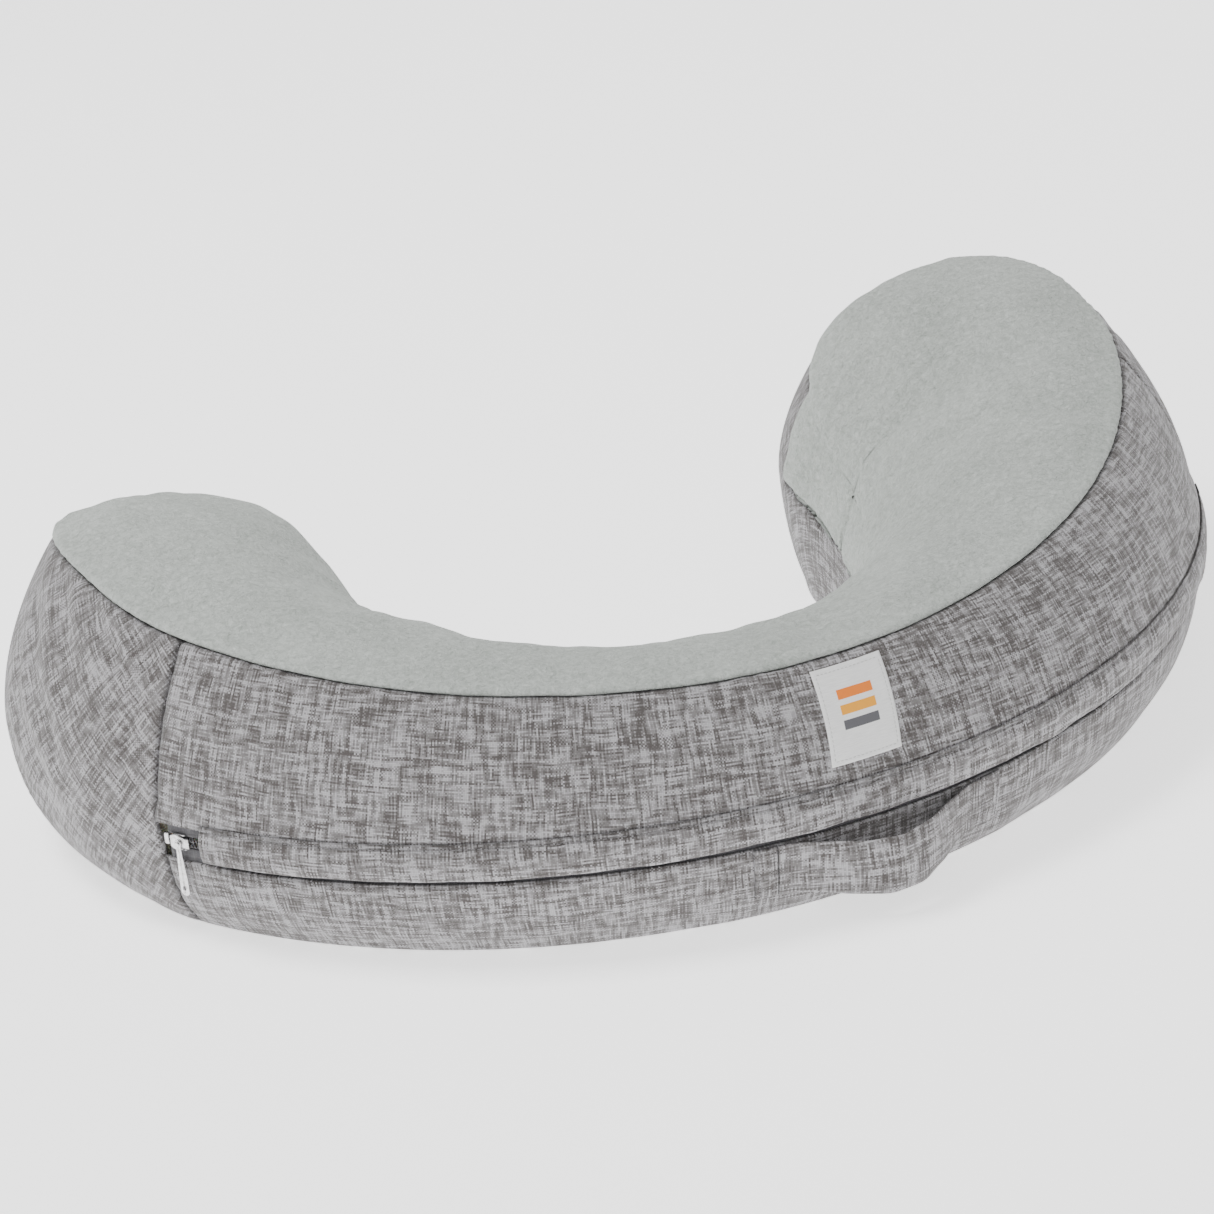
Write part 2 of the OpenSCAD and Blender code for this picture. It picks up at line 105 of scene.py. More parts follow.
# The rounded end is a superellipse, stepped evenly along its outline
_phase = np.linspace(0, math.pi / 2, 6000)
_end_xy = np.stack([END_LEN * np.sin(_phase) ** (2 / END_POWER),
                    ARM_HALF * np.cos(_phase) ** (2 / END_POWER)], -1)
_end_run = np.concatenate([[0], np.cumsum(np.linalg.norm(np.diff(_end_xy, axis=0), axis=1))])
END_SHARE = _end_run / _end_run[-1]


def station(a):
    """Angle from the front, share of the rounded end, and narrowing, at coordinate a."""
    s = np.abs(a)
    phase = np.interp(s - 2, END_SHARE, _phase)
    q = np.where(s > 2, np.sin(phase) ** (2 / END_POWER), 0)
    narrow = np.where(s > 2, np.clip(np.cos(phase), 0, 1) ** (2 / END_POWER), 1)
    narrow = np.where(s >= TIP - 1e-9, 0, narrow)
    deg = np.where(s < 1, SEAM_DEG * s, mix(SEAM_DEG, ARM_DEG, np.clip(s - 1, 0, 1)) + END_TURN * q)
    return deg, q, narrow


def seam_xy(deg):
    side = (FRONT_R - SIDE_R) * out_dir(FRONT_DEG) + SIDE_R * out_dir(deg)
    return np.where((deg <= FRONT_DEG)[..., None], FRONT_R * out_dir(deg), side)


def half_width(deg):
    return mix(FRONT_HALF, ARM_HALF, smooth((deg - WIDEN_DEG) / (FULL_DEG - WIDEN_DEG)))


def outline(c):
    """Plan point of the top's outline: c is a on the outer edge, and 6 - a back along the inner edge."""
    c = (np.asarray(c, float) + TIP) % (4 * TIP) - TIP
    inner = c > TIP
    a = np.where(inner, 2 * TIP - c, c)
    deg, q, narrow = station(a)
    half = np.where(q > 0, ARM_HALF, half_width(deg))
    seam = seam_xy(np.minimum(deg, ARM_DEG))
    arm = seam_xy(np.array(ARM_DEG)) - ARM_HALF * out_dir(ARM_DEG)
    spine = np.where((q > 0)[..., None], arm + END_R * (out_dir(deg) - out_dir(ARM_DEG)),
                     seam - half[..., None] * out_dir(deg))
    way = np.where(inner, -1, 1) * narrow * half
    p = spine + way[..., None] * out_dir(deg)
    return np.stack([p[..., 0] * np.where(a < 0, -1, 1), p[..., 1]], -1)


def outline_normal(c):
    step = 0.004
    d = outline(c + step) - outline(c - step)
    d /= np.linalg.norm(d, axis=-1, keepdims=True)
    return np.stack([d[..., 1], -d[..., 0]], -1)


def climb(a):
    """How far the top seam has climbed, from 0 at the front towards 1 at the tips."""
    deg, q, _ = station(a)
    arc = np.minimum(deg, ARM_DEG)
    front = FRONT_R * np.radians(np.minimum(arc, FRONT_DEG))
    side = SIDE_R * np.radians(np.maximum(arc - FRONT_DEG, 0))
    whole = RUN_SHARE * math.radians(1) * (FRONT_R * FRONT_DEG + SIDE_R * (ARM_DEG - FRONT_DEG))
    return ((RUN_SHARE * (front + side) + END_LEN * q) / (whole + END_LEN)) ** CLIMB_POWER


def seam_heights(a):
    """Heights of the outer and the inner top seam."""
    _, q, narrow = station(a)
    top = mix(FRONT_H, ARM_H, climb(a)) - END_DROP * q * q
    low = mix(INNER_FRONT_H, INNER_ARM_H, climb(a))
    return top, mix(top, low, narrow * (1 - TIP_FILL * smooth(q)))


def wall(c, v, inset):
    """Wall points at outline coordinates c, heights v: 0 the foot, 1 the belt, 2 the seam."""
    c = np.asarray(c, float)[:, None]
    v = np.asarray(v, float)[None, :]
    a = np.where(c > TIP, 2 * TIP - c, c)
    deg, _, narrow = station(a)
    inner = np.where(c > TIP, narrow ** 2, 0)
    armness = smooth((deg - SEAM_DEG) / (ARM_DEG - SEAM_DEG))
    top, inner_top = seam_heights(a)
    h = np.where(c > TIP, inner_top, top)
    z_wide = mix(BELT_Z, np.minimum(BELT_Z, 0.55 * inner_top), inner)
    foot = mix(mix(FOOT_OUT, ARM_FOOT_OUT, armness), INNER_FOOT_OUT, inner)
    bulge = mix(mix(BELT_OUT, ARM_BELT_OUT, armness), INNER_OUT, inner)
    phi = np.clip(v, 0, 1) * math.pi / 2
    w = np.clip(v - 1, 0, 1)
    out = np.where(v <= 1, mix(foot, bulge, np.sin(phi)), bulge * (1 - w ** WALL_POWER)) - inset
    z = np.where(v <= 1, mix(inset, z_wide, 1 - np.cos(phi)), mix(z_wide, h - inset, w))
    xy = outline(c) + out[..., None] * outline_normal(c)
    return np.concatenate([xy, z[..., None]], -1)


def plush(a, u, inset):
    """Points of the top at coordinates a, shares u from the outer seam to the inner one."""
    outer = wall(a, [2.0], inset)
    inner = wall(2 * TIP - np.asarray(a), [2.0], inset)
    u = np.asarray(u, float)[None, :, None]
    p = mix(outer, inner, u)
    fall = 1 - (1 - u ** ROLL_POWER) ** (1 / ROLL_POWER)
    _, q, narrow = station(np.asarray(a))
    crown = narrow * mix(FRONT_CROWN, ARM_CROWN, climb(np.asarray(a)))
    bow = np.sqrt(np.clip(1 - (2 * u - 1) ** 2, 0, 1))
    p[..., 2:] = mix(outer[..., 2:], inner[..., 2:], fall) + crown[:, None, None] * bow
    return p


def skin(a, b, inset=0.0):
    """Grid of skin points, one row for each a and one column for each b, round from 0 to 6."""
    a, b = np.asarray(a, float), np.asarray(b, float)
    outer = wall(a, b[b <= TOP_SEAM], inset)
    top_b = b[(b > TOP_SEAM) & (b < INNER_SEAM)]
    top = plush(a, (1 - np.cos(math.pi * (top_b - TOP_SEAM))) / 2, inset)
    inner = wall(2 * TIP - a, INNER_FOOT - b[(b >= INNER_SEAM) & (b <= INNER_FOOT)], inset)
    share = (b[b > INNER_FOOT] - INNER_FOOT)[None, :, None]
    base = mix(inner[:, -1:], outer[:, :1], share)
    grid = np.concatenate([outer, top, inner, base], 1)
    grid[..., 1] += CENTRE_Y
    return grid


def a_steps(front, side, end):
    """Coordinates a from tip to tip, with these many steps in each stretch of one half."""
    half = np.concatenate([np.linspace(0, 1, front, endpoint=False), np.linspace(1, 2, side, endpoint=False),
                           np.linspace(2, 3, end + 1)])
    return np.concatenate([-half[:0:-1], half])


def b_steps(low, up, top, base):
    """Coordinates b round the section, closer together beside the top seam and the belt."""
    rise = 1 + (1 - np.cos(math.pi * np.arange(up) / up)) / 2
    lower = np.arange(low) / low
    across = TOP_SEAM + np.arange(top) / top
    down = INNER_FOOT - np.concatenate([lower, rise, [2.0]])[::-1]
    under = INNER_FOOT + np.arange(1, base + 1) / base
    return np.concatenate([lower, rise, across, down, under])


class Tube:
    """Skin grid with shared vertices where its two ends and its round close."""

    def __init__(self, a, b):
        self.a, self.b = a, b
        rows, cols = len(a), len(b)
        index = np.arange(rows * cols).reshape(rows, cols)
        index[:, -1] = index[:, 0]
        for i in (0, rows - 1):
            for j in range(cols):
                if TOP_SEAM < b[j] <= INNER_SEAM:
                    index[i, j] = index[i, self.column(TOP_SEAM)]
                elif INNER_SEAM < b[j] <= INNER_FOOT:
                    index[i, j] = index[i, self.column(INNER_FOOT - b[j])]
                elif b[j] > INNER_FOOT:
                    index[i, j] = index[i, 0]
        self.index = index

    def column(self, b):
        return int(np.argmin(np.abs(self.b - b)))

    def row(self, a):
        return int(np.argmin(np.abs(self.a - a)))

    def faces(self, i0, i1, j0, j1):
        """Quads between two rows and two columns, and triangles where the tube closes."""
        found = []
        for i in range(i0, i1):
            for j in range(j0, j1):
                ring = [self.index[i, j], self.index[i + 1, j],
                        self.index[i + 1, j + 1], self.index[i, j + 1]]
                ring = [int(v) for k, v in enumerate(ring) if v != ring[k - 1]]
                if len(set(ring)) > 2 and len(set(ring)) == len(ring):
                    found.append(ring)
        return found


def vertex_normals(points, faces):
    """Unit normals of the points, from the faces round them."""
    normals = np.zeros_like(points)
    for size in (3, 4):
        ring = np.array([f for f in faces if len(f) == size])
        if len(ring):
            p = points[ring]
            cross = np.cross(p[:, size // 2] - p[:, 0], p[:, -1] - p[:, 1])
            for k in range(size):
                np.add.at(normals, ring[:, k], cross)
    return normals / np.maximum(np.linalg.norm(normals, axis=1, keepdims=True), 1e-12)


def waves(points, length, seed, count=24):
    """Smooth random field of about unit height, whose bumps are this far apart."""
    rng = np.random.default_rng(seed)
    direction = rng.normal(size=(count, 3))
    direction /= np.linalg.norm(direction, axis=1, keepdims=True)
    pitch = 2 * math.pi / (length * rng.uniform(0.75, 1.4, count))
    phase = rng.uniform(0, 2 * math.pi, count)
    field = np.zeros(points.shape[:-1])
    for d, k, f in zip(direction, pitch, phase):
        field += np.sin(k * (points @ d) + f)
    return field * math.sqrt(2 / count)


def ripple(run, length, seed):
    """Uneven ripples along a seam, of about unit height."""
    rng = np.random.default_rng(seed)
    total = np.zeros_like(run)
    for scale in (0.72, 1.0, 1.37, 1.9):
        total += np.sin(2 * math.pi * run / (length * scale) + rng.uniform(0, 6.28))
    return total / 2


def resample(field, old, new):
    """Catmull-Rom interpolation of a field along its first axis, from old coordinates to new ones."""
    k = np.clip(np.searchsorted(old, new, side="right") - 1, 0, len(old) - 2)
    t = ((new - old[k]) / (old[k + 1] - old[k]))[:, None, None]
    last = len(old) - 1
    p0, p1 = field[np.clip(k - 1, 0, last)], field[k]
    p2, p3 = field[k + 1], field[np.clip(k + 2, 0, last)]
    m1, m2 = (p2 - p0) / 2, (p3 - p1) / 2
    return ((2 * t ** 3 - 3 * t ** 2 + 1) * p1 + (t ** 3 - 2 * t ** 2 + t) * m1
            + (-2 * t ** 3 + 3 * t ** 2) * p2 + (t ** 3 - t ** 2) * m2)


# Cloth: the cover swells between its seams over a slightly smaller pillow
SWELL_INSET = 0.0016
SWELL_CAP = 0.0045
CLOTH_FRAMES = 18


def swell():
    """Cloth simulation of the closed cover. Returns its moves from the skin, on a coarse grid."""
    tube = Tube(a_steps(44, 8, 18), b_steps(6, 9, 18, 5))
    start = skin(tube.a, tube.b, SWELL_INSET)
    rest = skin(tube.a, tube.b)
    start[..., 2] = np.maximum(start[..., 2], SWELL_INSET)
    faces = tube.faces(0, len(tube.a) - 1, 0, len(tube.b) - 1)
    used = sorted({v for f in faces for v in f})
    renumber = {v: k for k, v in enumerate(used)}
    mesh = bpy.data.meshes.new("cloth")
    mesh.from_pydata(start.reshape(-1, 3)[used].tolist(), [], [[renumber[v] for v in f] for f in faces])
    obj = bpy.data.objects.new("cloth", mesh)
    bpy.context.scene.collection.objects.link(obj)
    a, b = np.meshgrid(tube.a, tube.b, indexing="ij")
    walls = (b <= TOP_SEAM) & (np.abs(a) <= 1.001)
    sewn = (b >= INNER_FOOT) | (b == 0) | (np.abs(b - TOP_SEAM) < 1e-6)
    sewn |= walls & ((np.abs(b - BELT) < 0.02) | (np.abs(np.abs(a) - 1) < 1e-6))
    pinned = sorted({renumber[v] for v in tube.index[sewn]})
    group = obj.vertex_groups.new(name="sewn")
    group.add(pinned, 1.0, "REPLACE")
    cloth = obj.modifiers.new("Cloth", "CLOTH")
    cloth.point_cache.frame_end = CLOTH_FRAMES
    settings = cloth.settings
    settings.quality = 6
    settings.mass = 0.2
    settings.tension_stiffness = 10
    settings.compression_stiffness = 4
    settings.shear_stiffness = 4
    settings.bending_stiffness = 0.3
    settings.shrink_min = settings.shrink_max = -0.006
    settings.use_pressure = True
    settings.uniform_pressure_force = 2.0
    settings.vertex_group_mass = "sewn"
    settings.effector_weights.gravity = 0
    for f in range(1, CLOTH_FRAMES + 1):
        bpy.context.scene.frame_set(f)
    done = obj.evaluated_get(bpy.context.evaluated_depsgraph_get())
    settled = np.array([v.co for v in done.data.vertices])
    bpy.data.objects.remove(obj)
    bpy.context.scene.frame_set(1)
    places = np.zeros((start.size // 3, 3))
    places[used] = settled
    move = places[tube.index] - rest
    size = np.linalg.norm(move, axis=-1, keepdims=True)
    move *= np.minimum(size, SWELL_CAP) / np.maximum(size, 1e-9)
    return tube, np.nan_to_num(move)


def blurred(field):
    """Field averaged with its neighbours along both of its grid's axes."""
    wide = np.pad(field, ((1, 1), (1, 1), (0, 0)), mode="edge")
    along = (wide[:-2] + 2 * wide[1:-1] + wide[2:]) / 4
    return (along[:, :-2] + 2 * along[:, 1:-1] + along[:, 2:]) / 4


def cover_moves(a, b):
    """Moves of the cover from the plain skin, on the fine grid."""
    tube, move = swell()
    move = blurred(blurred(move))
    along = resample(move, tube.a, a)
    return resample(along.transpose(1, 0, 2), tube.b, b).transpose(1, 0, 2)


# The fine grid of the cover
tube = Tube(a_steps(190, 30, 74), b_steps(20, 34, 72, 12))
A, B = np.meshgrid(tube.a, tube.b, indexing="ij")
DEG = np.sign(A) * station(A)[0]
bare = skin(tube.a, tube.b)
section = np.concatenate([np.zeros((len(tube.a), 1)),
                          np.cumsum(np.linalg.norm(np.diff(bare, axis=1), axis=2), 1)], 1)
length = np.concatenate([np.zeros((1, len(tube.b))),
                         np.cumsum(np.linalg.norm(np.diff(bare, axis=0), axis=2), 0)], 0)
length -= length[tube.row(0)]
outer_run = length[:, [tube.column(BELT)]] + 0 * B


def from_column(b):
    return np.abs(section - section[:, [tube.column(b)]])


def from_row(a):
    return np.abs(length - length[[tube.row(a)]])


FRONT_WALL = (np.abs(A) <= 1 + 1e-9) & (B <= TOP_SEAM)
END_WALL = (np.abs(A) >= 1 - 1e-9) & (B <= TOP_SEAM)
BETWEEN_ENDS = np.abs(A) <= INNER_CUT + 1e-9
PLUSH = (B >= TOP_SEAM) & (B <= np.where(BETWEEN_ENDS, INNER_WIDE, INNER_SEAM))
# The line where the plush ends on the inner side
INNER_LINE = np.where(BETWEEN_ENDS, from_column(INNER_WIDE), from_column(INNER_SEAM))


def fade(distance, reach):
    return np.exp(-(distance / reach) ** 2)


def creases():
    """Height of the sewn and creased relief over the swollen cover."""
    relief = np.zeros_like(A)
    top, inner = from_column(TOP_SEAM), INNER_LINE
    side = np.minimum(from_row(-1), from_row(1))
    gather = ripple(outer_run, 0.010, 3)
    slow = waves(bare, 0.05, 5)
    # Wall side of the top seam: a groove, close puckers and a few longer creases below it
    on_wall = B <= TOP_SEAM
    relief -= on_wall * 0.0013 * fade(top, 0.0016)
    relief += on_wall * 0.00024 * gather * (1 + 0.5 * slow) * np.exp(-top / 0.007)
    deep = np.clip(ripple(outer_run, 0.034, 8) * slow - 0.35, 0, 1.2)
    relief -= on_wall * 0.0006 * deep * np.exp(-top / 0.022)
    # Vertical seams of the outer wall, and long soft creases beside them on the end panels
    relief -= on_wall * 0.0015 * fade(side, 0.0018)
    relief += on_wall * 0.0003 * ripple(section, 0.009, 11) * np.exp(-side / 0.008)
    ends = smooth((np.abs(A) - 1.0) / 0.25) * on_wall
    for left in (-1, 1):
        line = (from_row(left) - 0.014 - 0.11 * (0.16 - section)) * np.where(A * left >= 1, 1, np.nan)
        mark = np.nan_to_num(fade(line, 0.0026)) * smooth((section - 0.062) / 0.05)
        relief -= 0.0012 * mark * on_wall
    bias = (outer_run + 1.1 * section)
    relief += ends * 0.0011 * np.sin(bias * 2 * math.pi / 0.047 + 1.3 * slow) * smooth(waves(bare, 0.13, 21))
    # Plush: it rolls proud of its seam, puckers there, and undulates softly
    relief += PLUSH * (0.0012 * fade(top - 0.004, 0.0034) - 0.0012 * fade(top, 0.0011))
    relief += PLUSH * 0.00035 * gather * np.exp(-top / 0.009)
    rolling = 0.0007 * waves(bare, 0.055, 31) + 0.00025 * waves(bare, 0.017, 32)
    relief += PLUSH * smooth(top / 0.02) * rolling
    relief -= (B >= INNER_SEAM - 0.1) * 0.0013 * fade(inner, 0.0018)
    relief += 0.0003 * (B > TOP_SEAM) * ripple(outer_run, 0.011, 33) * np.exp(-inner / 0.008)
    # Creases that fan out of the root of each arm, where the plush turns uphill
    for arm in (-1, 1):
        root_a, root_b = 0.84 * arm, INNER_SEAM - 0.12
        da, db = (A - root_a) * 0.33, (B - root_b) * 0.16
        away = np.hypot(da, db)
        turn = np.arctan2(db, da * arm)
        fan = np.sin(9 * turn + 1.1 * arm) * smooth(away / 0.03) * np.exp(-away / 0.05)
        relief += PLUSH * 0.0011 * fan * smooth((INNER_SEAM - B) / 0.08)
    # Short puckers where the plush is eased round each tip
    tip = smooth((np.abs(A) - 2.35) / 0.2) * PLUSH
    relief += tip * 0.0011 * np.clip(ripple(outer_run, 0.015, 41), 0, 2) * np.exp(-top / 0.012)
    # The base lies flat, and the belt stays inside the flap that is sewn over it
    zip_near = (np.abs(A) <= 1) * fade(np.maximum(from_column(BELT) - 0.004, 0), 0.004)
    foot = smooth(np.minimum(from_column(OUTER_FOOT), from_column(INNER_FOOT)) / 0.008)
    relief *= np.where(B >= INNER_FOOT, 0, foot) * (1 - zip_near)
    return relief


def seam_thread_and_painted_shade():
    """How near a sewn line is: 1 on it, 0 away from it. The colour darkens by it along the seams: dark thread
    and painted shade in their grooves.
    """
    near = np.where(FRONT_WALL | END_WALL, np.minimum(from_row(-1), from_row(1)), 1.0)
    near = np.minimum(near, from_column(TOP_SEAM) + 0.0004)
    near = np.minimum(near, np.where(B > 2.5, INNER_LINE, 1.0))
    return fade(near, 0.0015)


def finished_cover():
    """Points and normals of the finished cover, on the fine grid."""
    faces = tube.faces(0, len(tube.a) - 1, 0, len(tube.b) - 1)
    moves = cover_moves(tube.a, tube.b)
    level = smooth(np.minimum(from_column(OUTER_FOOT), from_column(INNER_FOOT)) / 0.010)
    under_strap = smooth((np.abs(DEG + 1) - 13) / 5)
    hold = np.where((B <= BELT) & (np.abs(A) < 1), mix(0.05, 1, under_strap), 1)
    belt_gap = from_column(BELT)
    hold = hold * np.where((np.abs(A) <= 1) & (B < TOP_SEAM), smooth((belt_gap - 0.003) / 0.010), 1)
    hold = hold * np.where(B >= INNER_FOOT, 0, level)
    points = bare + moves * hold[..., None]
    flat = points.reshape(-1, 3)
    normals = vertex_normals(flat, faces)[tube.index]
    points = points + creases()[..., None] * normals
    points[..., 2] = np.maximum(points[..., 2], 0.0)
    normals = vertex_normals(points.reshape(-1, 3), faces)[tube.index]
    return points, normals


cover, cover_normals = finished_cover()
# Nearness to the seams, by which the cover's colour is darkened: dark thread and painted shade in the
# grooves.
seam_thread_and_shade = seam_thread_and_painted_shade()


def on_cover(a, b, lift=0.0):
    """Points on the finished cover at coordinates a and b, lifted off it."""
    a, b = np.broadcast_arrays(np.asarray(a, float), np.asarray(b, float))
    i = np.clip(np.searchsorted(tube.a, a, side="right") - 1, 0, len(tube.a) - 2)
    j = np.clip(np.searchsorted(tube.b, b, side="right") - 1, 0, len(tube.b) - 2)
    s = ((a - tube.a[i]) / (tube.a[i + 1] - tube.a[i]))[..., None]
    t = ((b - tube.b[j]) / (tube.b[j + 1] - tube.b[j]))[..., None]

    def at(grid):
        return mix(mix(grid[i, j], grid[i + 1, j], s), mix(grid[i, j + 1], grid[i + 1, j + 1], s), t)

    normal = at(cover_normals)
    normal /= np.linalg.norm(normal, axis=-1, keepdims=True)
    return at(cover) + lift * normal


# --- Materials -------------------------------------------------------------------------------------


class Shader:
    """A node material that is written one call a node."""

    def __init__(self, name, **sockets):
        self.material = bpy.data.materials.new(name)
        self.material.use_nodes = True
        self.tree = self.material.node_tree
        self.surface = self.tree.nodes["Principled BSDF"]
        for socket, value in sockets.items():
            self.surface.inputs[socket.replace("_", " ")].default_value = value

    def node(self, kind, links=None, **settings):
        node = self.tree.nodes.new(kind)
        for key, value in settings.items():
            setattr(node, key, value)
        for key, value in (links or {}).items():
            self.feed(node.inputs[key], value)
        return node

    def feed(self, socket, value):
        if isinstance(value, bpy.types.NodeSocket):
            self.tree.links.new(value, socket)
        else:
            socket.default_value = value

    def math(self, operation, a, b=0.0, c=0.0, clamp=False):
        node = self.node("ShaderNodeMath", {0: a, 1: b, 2: c}, operation=operation, use_clamp=clamp)
        return node.outputs[0]

    def vector(self, x=0.0, y=0.0, z=0.0):
        return self.node("ShaderNodeCombineXYZ", {0: x, 1: y, 2: z}).outputs[0]

    def noise(self, vector, scale=1.0, detail=2.0, roughness=0.5):
        links = {"Vector": vector, "Scale": scale, "Detail": detail, "Roughness": roughness}
        return self.node("ShaderNodeTexNoise", links).outputs["Fac"]

    def ramp(self, factor, *stops):
        node = self.node("ShaderNodeValToRGB", {0: factor})
        ramp = node.color_ramp
        while len(ramp.elements) < len(stops):
            ramp.elements.new(0.5)
        for element, (place, color) in zip(ramp.elements, stops):
            element.position = place
            element.color = (*color, 1)
        return node.outputs["Color"]

    def scaled(self, color, factor):
        """Colour times a factor."""
        node = self.node("ShaderNodeVectorMath", {0: color, 3: factor}, operation="SCALE")
        return node.outputs[0]

    def bump(self, height, distance, strength=1.0):
        links = {"Height": height, "Distance": distance, "Strength": strength}
        self.feed(self.surface.inputs["Normal"], self.node("ShaderNodeBump", links).outputs[0])

    def color(self, value):
        self.feed(self.surface.inputs["Base Color"], value)

    # Vertex value by which the colour darkens along seams: dark thread and painted shade in their grooves.
    def seam(self):
        return self.node("ShaderNodeAttribute", attribute_name="seam").outputs["Fac"]

    def place(self, output="Object"):
        return self.node("ShaderNodeTexCoord").outputs[output]


def woven(name, pitch, dark, middle, light, contrast=1.0):
    """Heathered plain weave. The map is in metres: x across the warp, y along it."""
    s = Shader(name, Roughness=0.92, Sheen_Weight=0.22, Sheen_Roughness=0.45)
    xyz = s.node("ShaderNodeSeparateXYZ", {0: s.place("UV")}).outputs
    sway = s.math("MULTIPLY", s.math("SUBTRACT", s.noise(s.place("UV"), 55.0, 1.0), 0.5), 0.0022)
    x = s.math("DIVIDE", s.math("ADD", xyz[0], sway), pitch)
    y = s.math("DIVIDE", s.math("SUBTRACT", xyz[1], sway), pitch)
    warp_no, weft_no = s.math("FLOOR", x), s.math("FLOOR", y)

    def tone(thread, along, stretch, seed):
        place = s.vector(s.math("MULTIPLY", thread, 7.31), s.math("DIVIDE", along, stretch), seed)
        return s.noise(place, 1.0, 1.5, 0.6)

    warp = s.math("ADD", s.math("MULTIPLY", tone(warp_no, y, 17.0, 0.0), 0.62),
                  s.math("MULTIPLY", tone(s.math("FLOOR", s.math("DIVIDE", x, 2.0)), y, 30.0, 3.0), 0.38))
    weft = s.math("ADD", s.math("MULTIPLY", tone(weft_no, x, 17.0, 9.0), 0.62),
                  s.math("MULTIPLY", tone(s.math("FLOOR", s.math("DIVIDE", y, 2.0)), x, 30.0, 12.0), 0.38))
    over = s.math("PINGPONG", s.math("ADD", warp_no, weft_no), 1.0)
    share = s.math("MULTIPLY_ADD", over, 0.5, 0.25)
    both = s.math("ADD", s.math("MULTIPLY", warp, share),
                  s.math("MULTIPLY", weft, s.math("SUBTRACT", 1.0, share)))
    cloud = s.noise(s.place("UV"), 70.0, 3.0)
    both = s.math("ADD", both, s.math("MULTIPLY", s.math("SUBTRACT", cloud, 0.5), 0.05))
    spread = s.math("MULTIPLY_ADD", s.math("SUBTRACT", both, 0.5), contrast, 0.5, clamp=True)
    color = s.ramp(spread, (0.37, dark), (0.50, middle), (0.63, light))
    gap = s.math("MULTIPLY", s.math("PINGPONG", x, 0.5), s.math("PINGPONG", y, 0.5))
    relief = s.math("ADD", s.math("MULTIPLY", gap, 2.4), s.math("MULTIPLY", both, 0.9))
    # Painted shade between the threads, lighter on their tops: the colour follows the threads' height.
    thread_gap_painted_shade = s.math("MULTIPLY_ADD", s.math("POWER", s.math("MULTIPLY", gap, 4.0), 0.5), 0.42, 0.74)
    color = s.scaled(color, thread_gap_painted_shade)
    # Darker by up to half along the seams: dark thread and painted shade in their grooves.
    color = s.scaled(color, s.math("MULTIPLY_ADD", s.seam(), -0.5, 1.0))
    s.color(color)
    s.bump(relief, 0.00035, 0.7)
    return s.material


WEAVE_DARK, WEAVE_MIDDLE, WEAVE_LIGHT = (0.085, 0.076, 0.073), (0.205, 0.196, 0.196), (0.44, 0.43, 0.445)


def plush_material():
    """Short brushed pile: small curved clumps, a soft sheen and slow mottling."""
    s = Shader("plush_pile", Roughness=0.95, Sheen_Weight=0.25, Sheen_Roughness=0.4)
    s.surface.inputs["Sheen Tint"].default_value = (0.97, 1.0, 0.97, 1)
    place = s.place()
    warp = s.node("ShaderNodeTexNoise", {"Vector": place, "Scale": 220.0, "Detail": 2.0}).outputs["Color"]
    bent = s.node("ShaderNodeVectorMath", {0: place, 1: s.scaled(warp, 0.006)}, operation="ADD").outputs[0]
    clump = s.node("ShaderNodeTexVoronoi", {"Vector": bent, "Scale": 430.0}, feature="SMOOTH_F1").outputs[0]
    tuft = s.noise(bent, 760.0, 3.0, 0.65)
    fibre = s.noise(place, 2600.0, 2.0)
    mottle = s.noise(bent, 300.0, 3.0, 0.6)
    slow = s.noise(place, 21.0, 2.0)
    tone = s.math("ADD", s.math("MULTIPLY", tuft, 0.45), s.math("MULTIPLY", mottle, 0.4))
    tone = s.math("ADD", tone, s.math("MULTIPLY", slow, 0.15))
    color = s.ramp(tone, (0.33, (0.29, 0.32, 0.29)), (0.5, (0.46, 0.49, 0.46)), (0.67, (0.62, 0.65, 0.62)))
    # Darker along the seams: dark thread and painted shade in their grooves.
    s.color(s.scaled(color, s.math("MULTIPLY_ADD", s.seam(), -0.22, 1.0)))
    height = s.math("ADD", s.math("MULTIPLY", clump, -0.8), s.math("MULTIPLY", tuft, 0.9))
    s.bump(s.math("ADD", height, s.math("MULTIPLY", fibre, 0.35)), 0.0011, 0.9)
    return s.material


def foam_material():
    """Open-cell foam: small pits of several sizes."""
    s = Shader("foam_cells", Roughness=0.97, Subsurface_Weight=0.1)
    place = s.place()
    pits = s.node("ShaderNodeTexVoronoi", {"Vector": place, "Scale": 900.0}).outputs[0]
    large = s.node("ShaderNodeTexVoronoi", {"Vector": place, "Scale": 330.0}).outputs[0]
    # Painted shade in the pits: the colour is darkest at each pit's middle, where the bump sinks them.
    color = s.ramp(pits, (0.0, (0.62, 0.55, 0.38)), (0.4, (0.83, 0.78, 0.62)), (0.9, (0.90, 0.86, 0.72)))
    s.color(s.scaled(color, s.math("MULTIPLY_ADD", s.noise(place, 24.0, 2.0), 0.16, 0.92)))
    s.bump(s.math("ADD", pits, s.math("MULTIPLY", large, 0.5)), 0.0008, 0.8)
    return s.material


def metal_material():
    """Bright nickel plate with fine brushing and slight wear."""
    s = Shader("bright_nickel", Metallic=1.0)
    place = s.place()
    stretch = s.node("ShaderNodeVectorMath", {0: place, 1: (1.0, 1.0, 0.06)}, operation="MULTIPLY").outputs[0]
    brush = s.noise(stretch, 9000.0, 2.0)
    wear = s.noise(place, 600.0, 3.0)
    s.color(s.ramp(wear, (0.35, (0.55, 0.54, 0.53)), (0.6, (0.80, 0.80, 0.81))))
    rough = s.math("MULTIPLY_ADD", s.math("ADD", brush, wear), 0.16, 0.12)
    s.feed(s.surface.inputs["Roughness"], rough)
    s.bump(brush, 0.00002, 0.4)
    return s.material


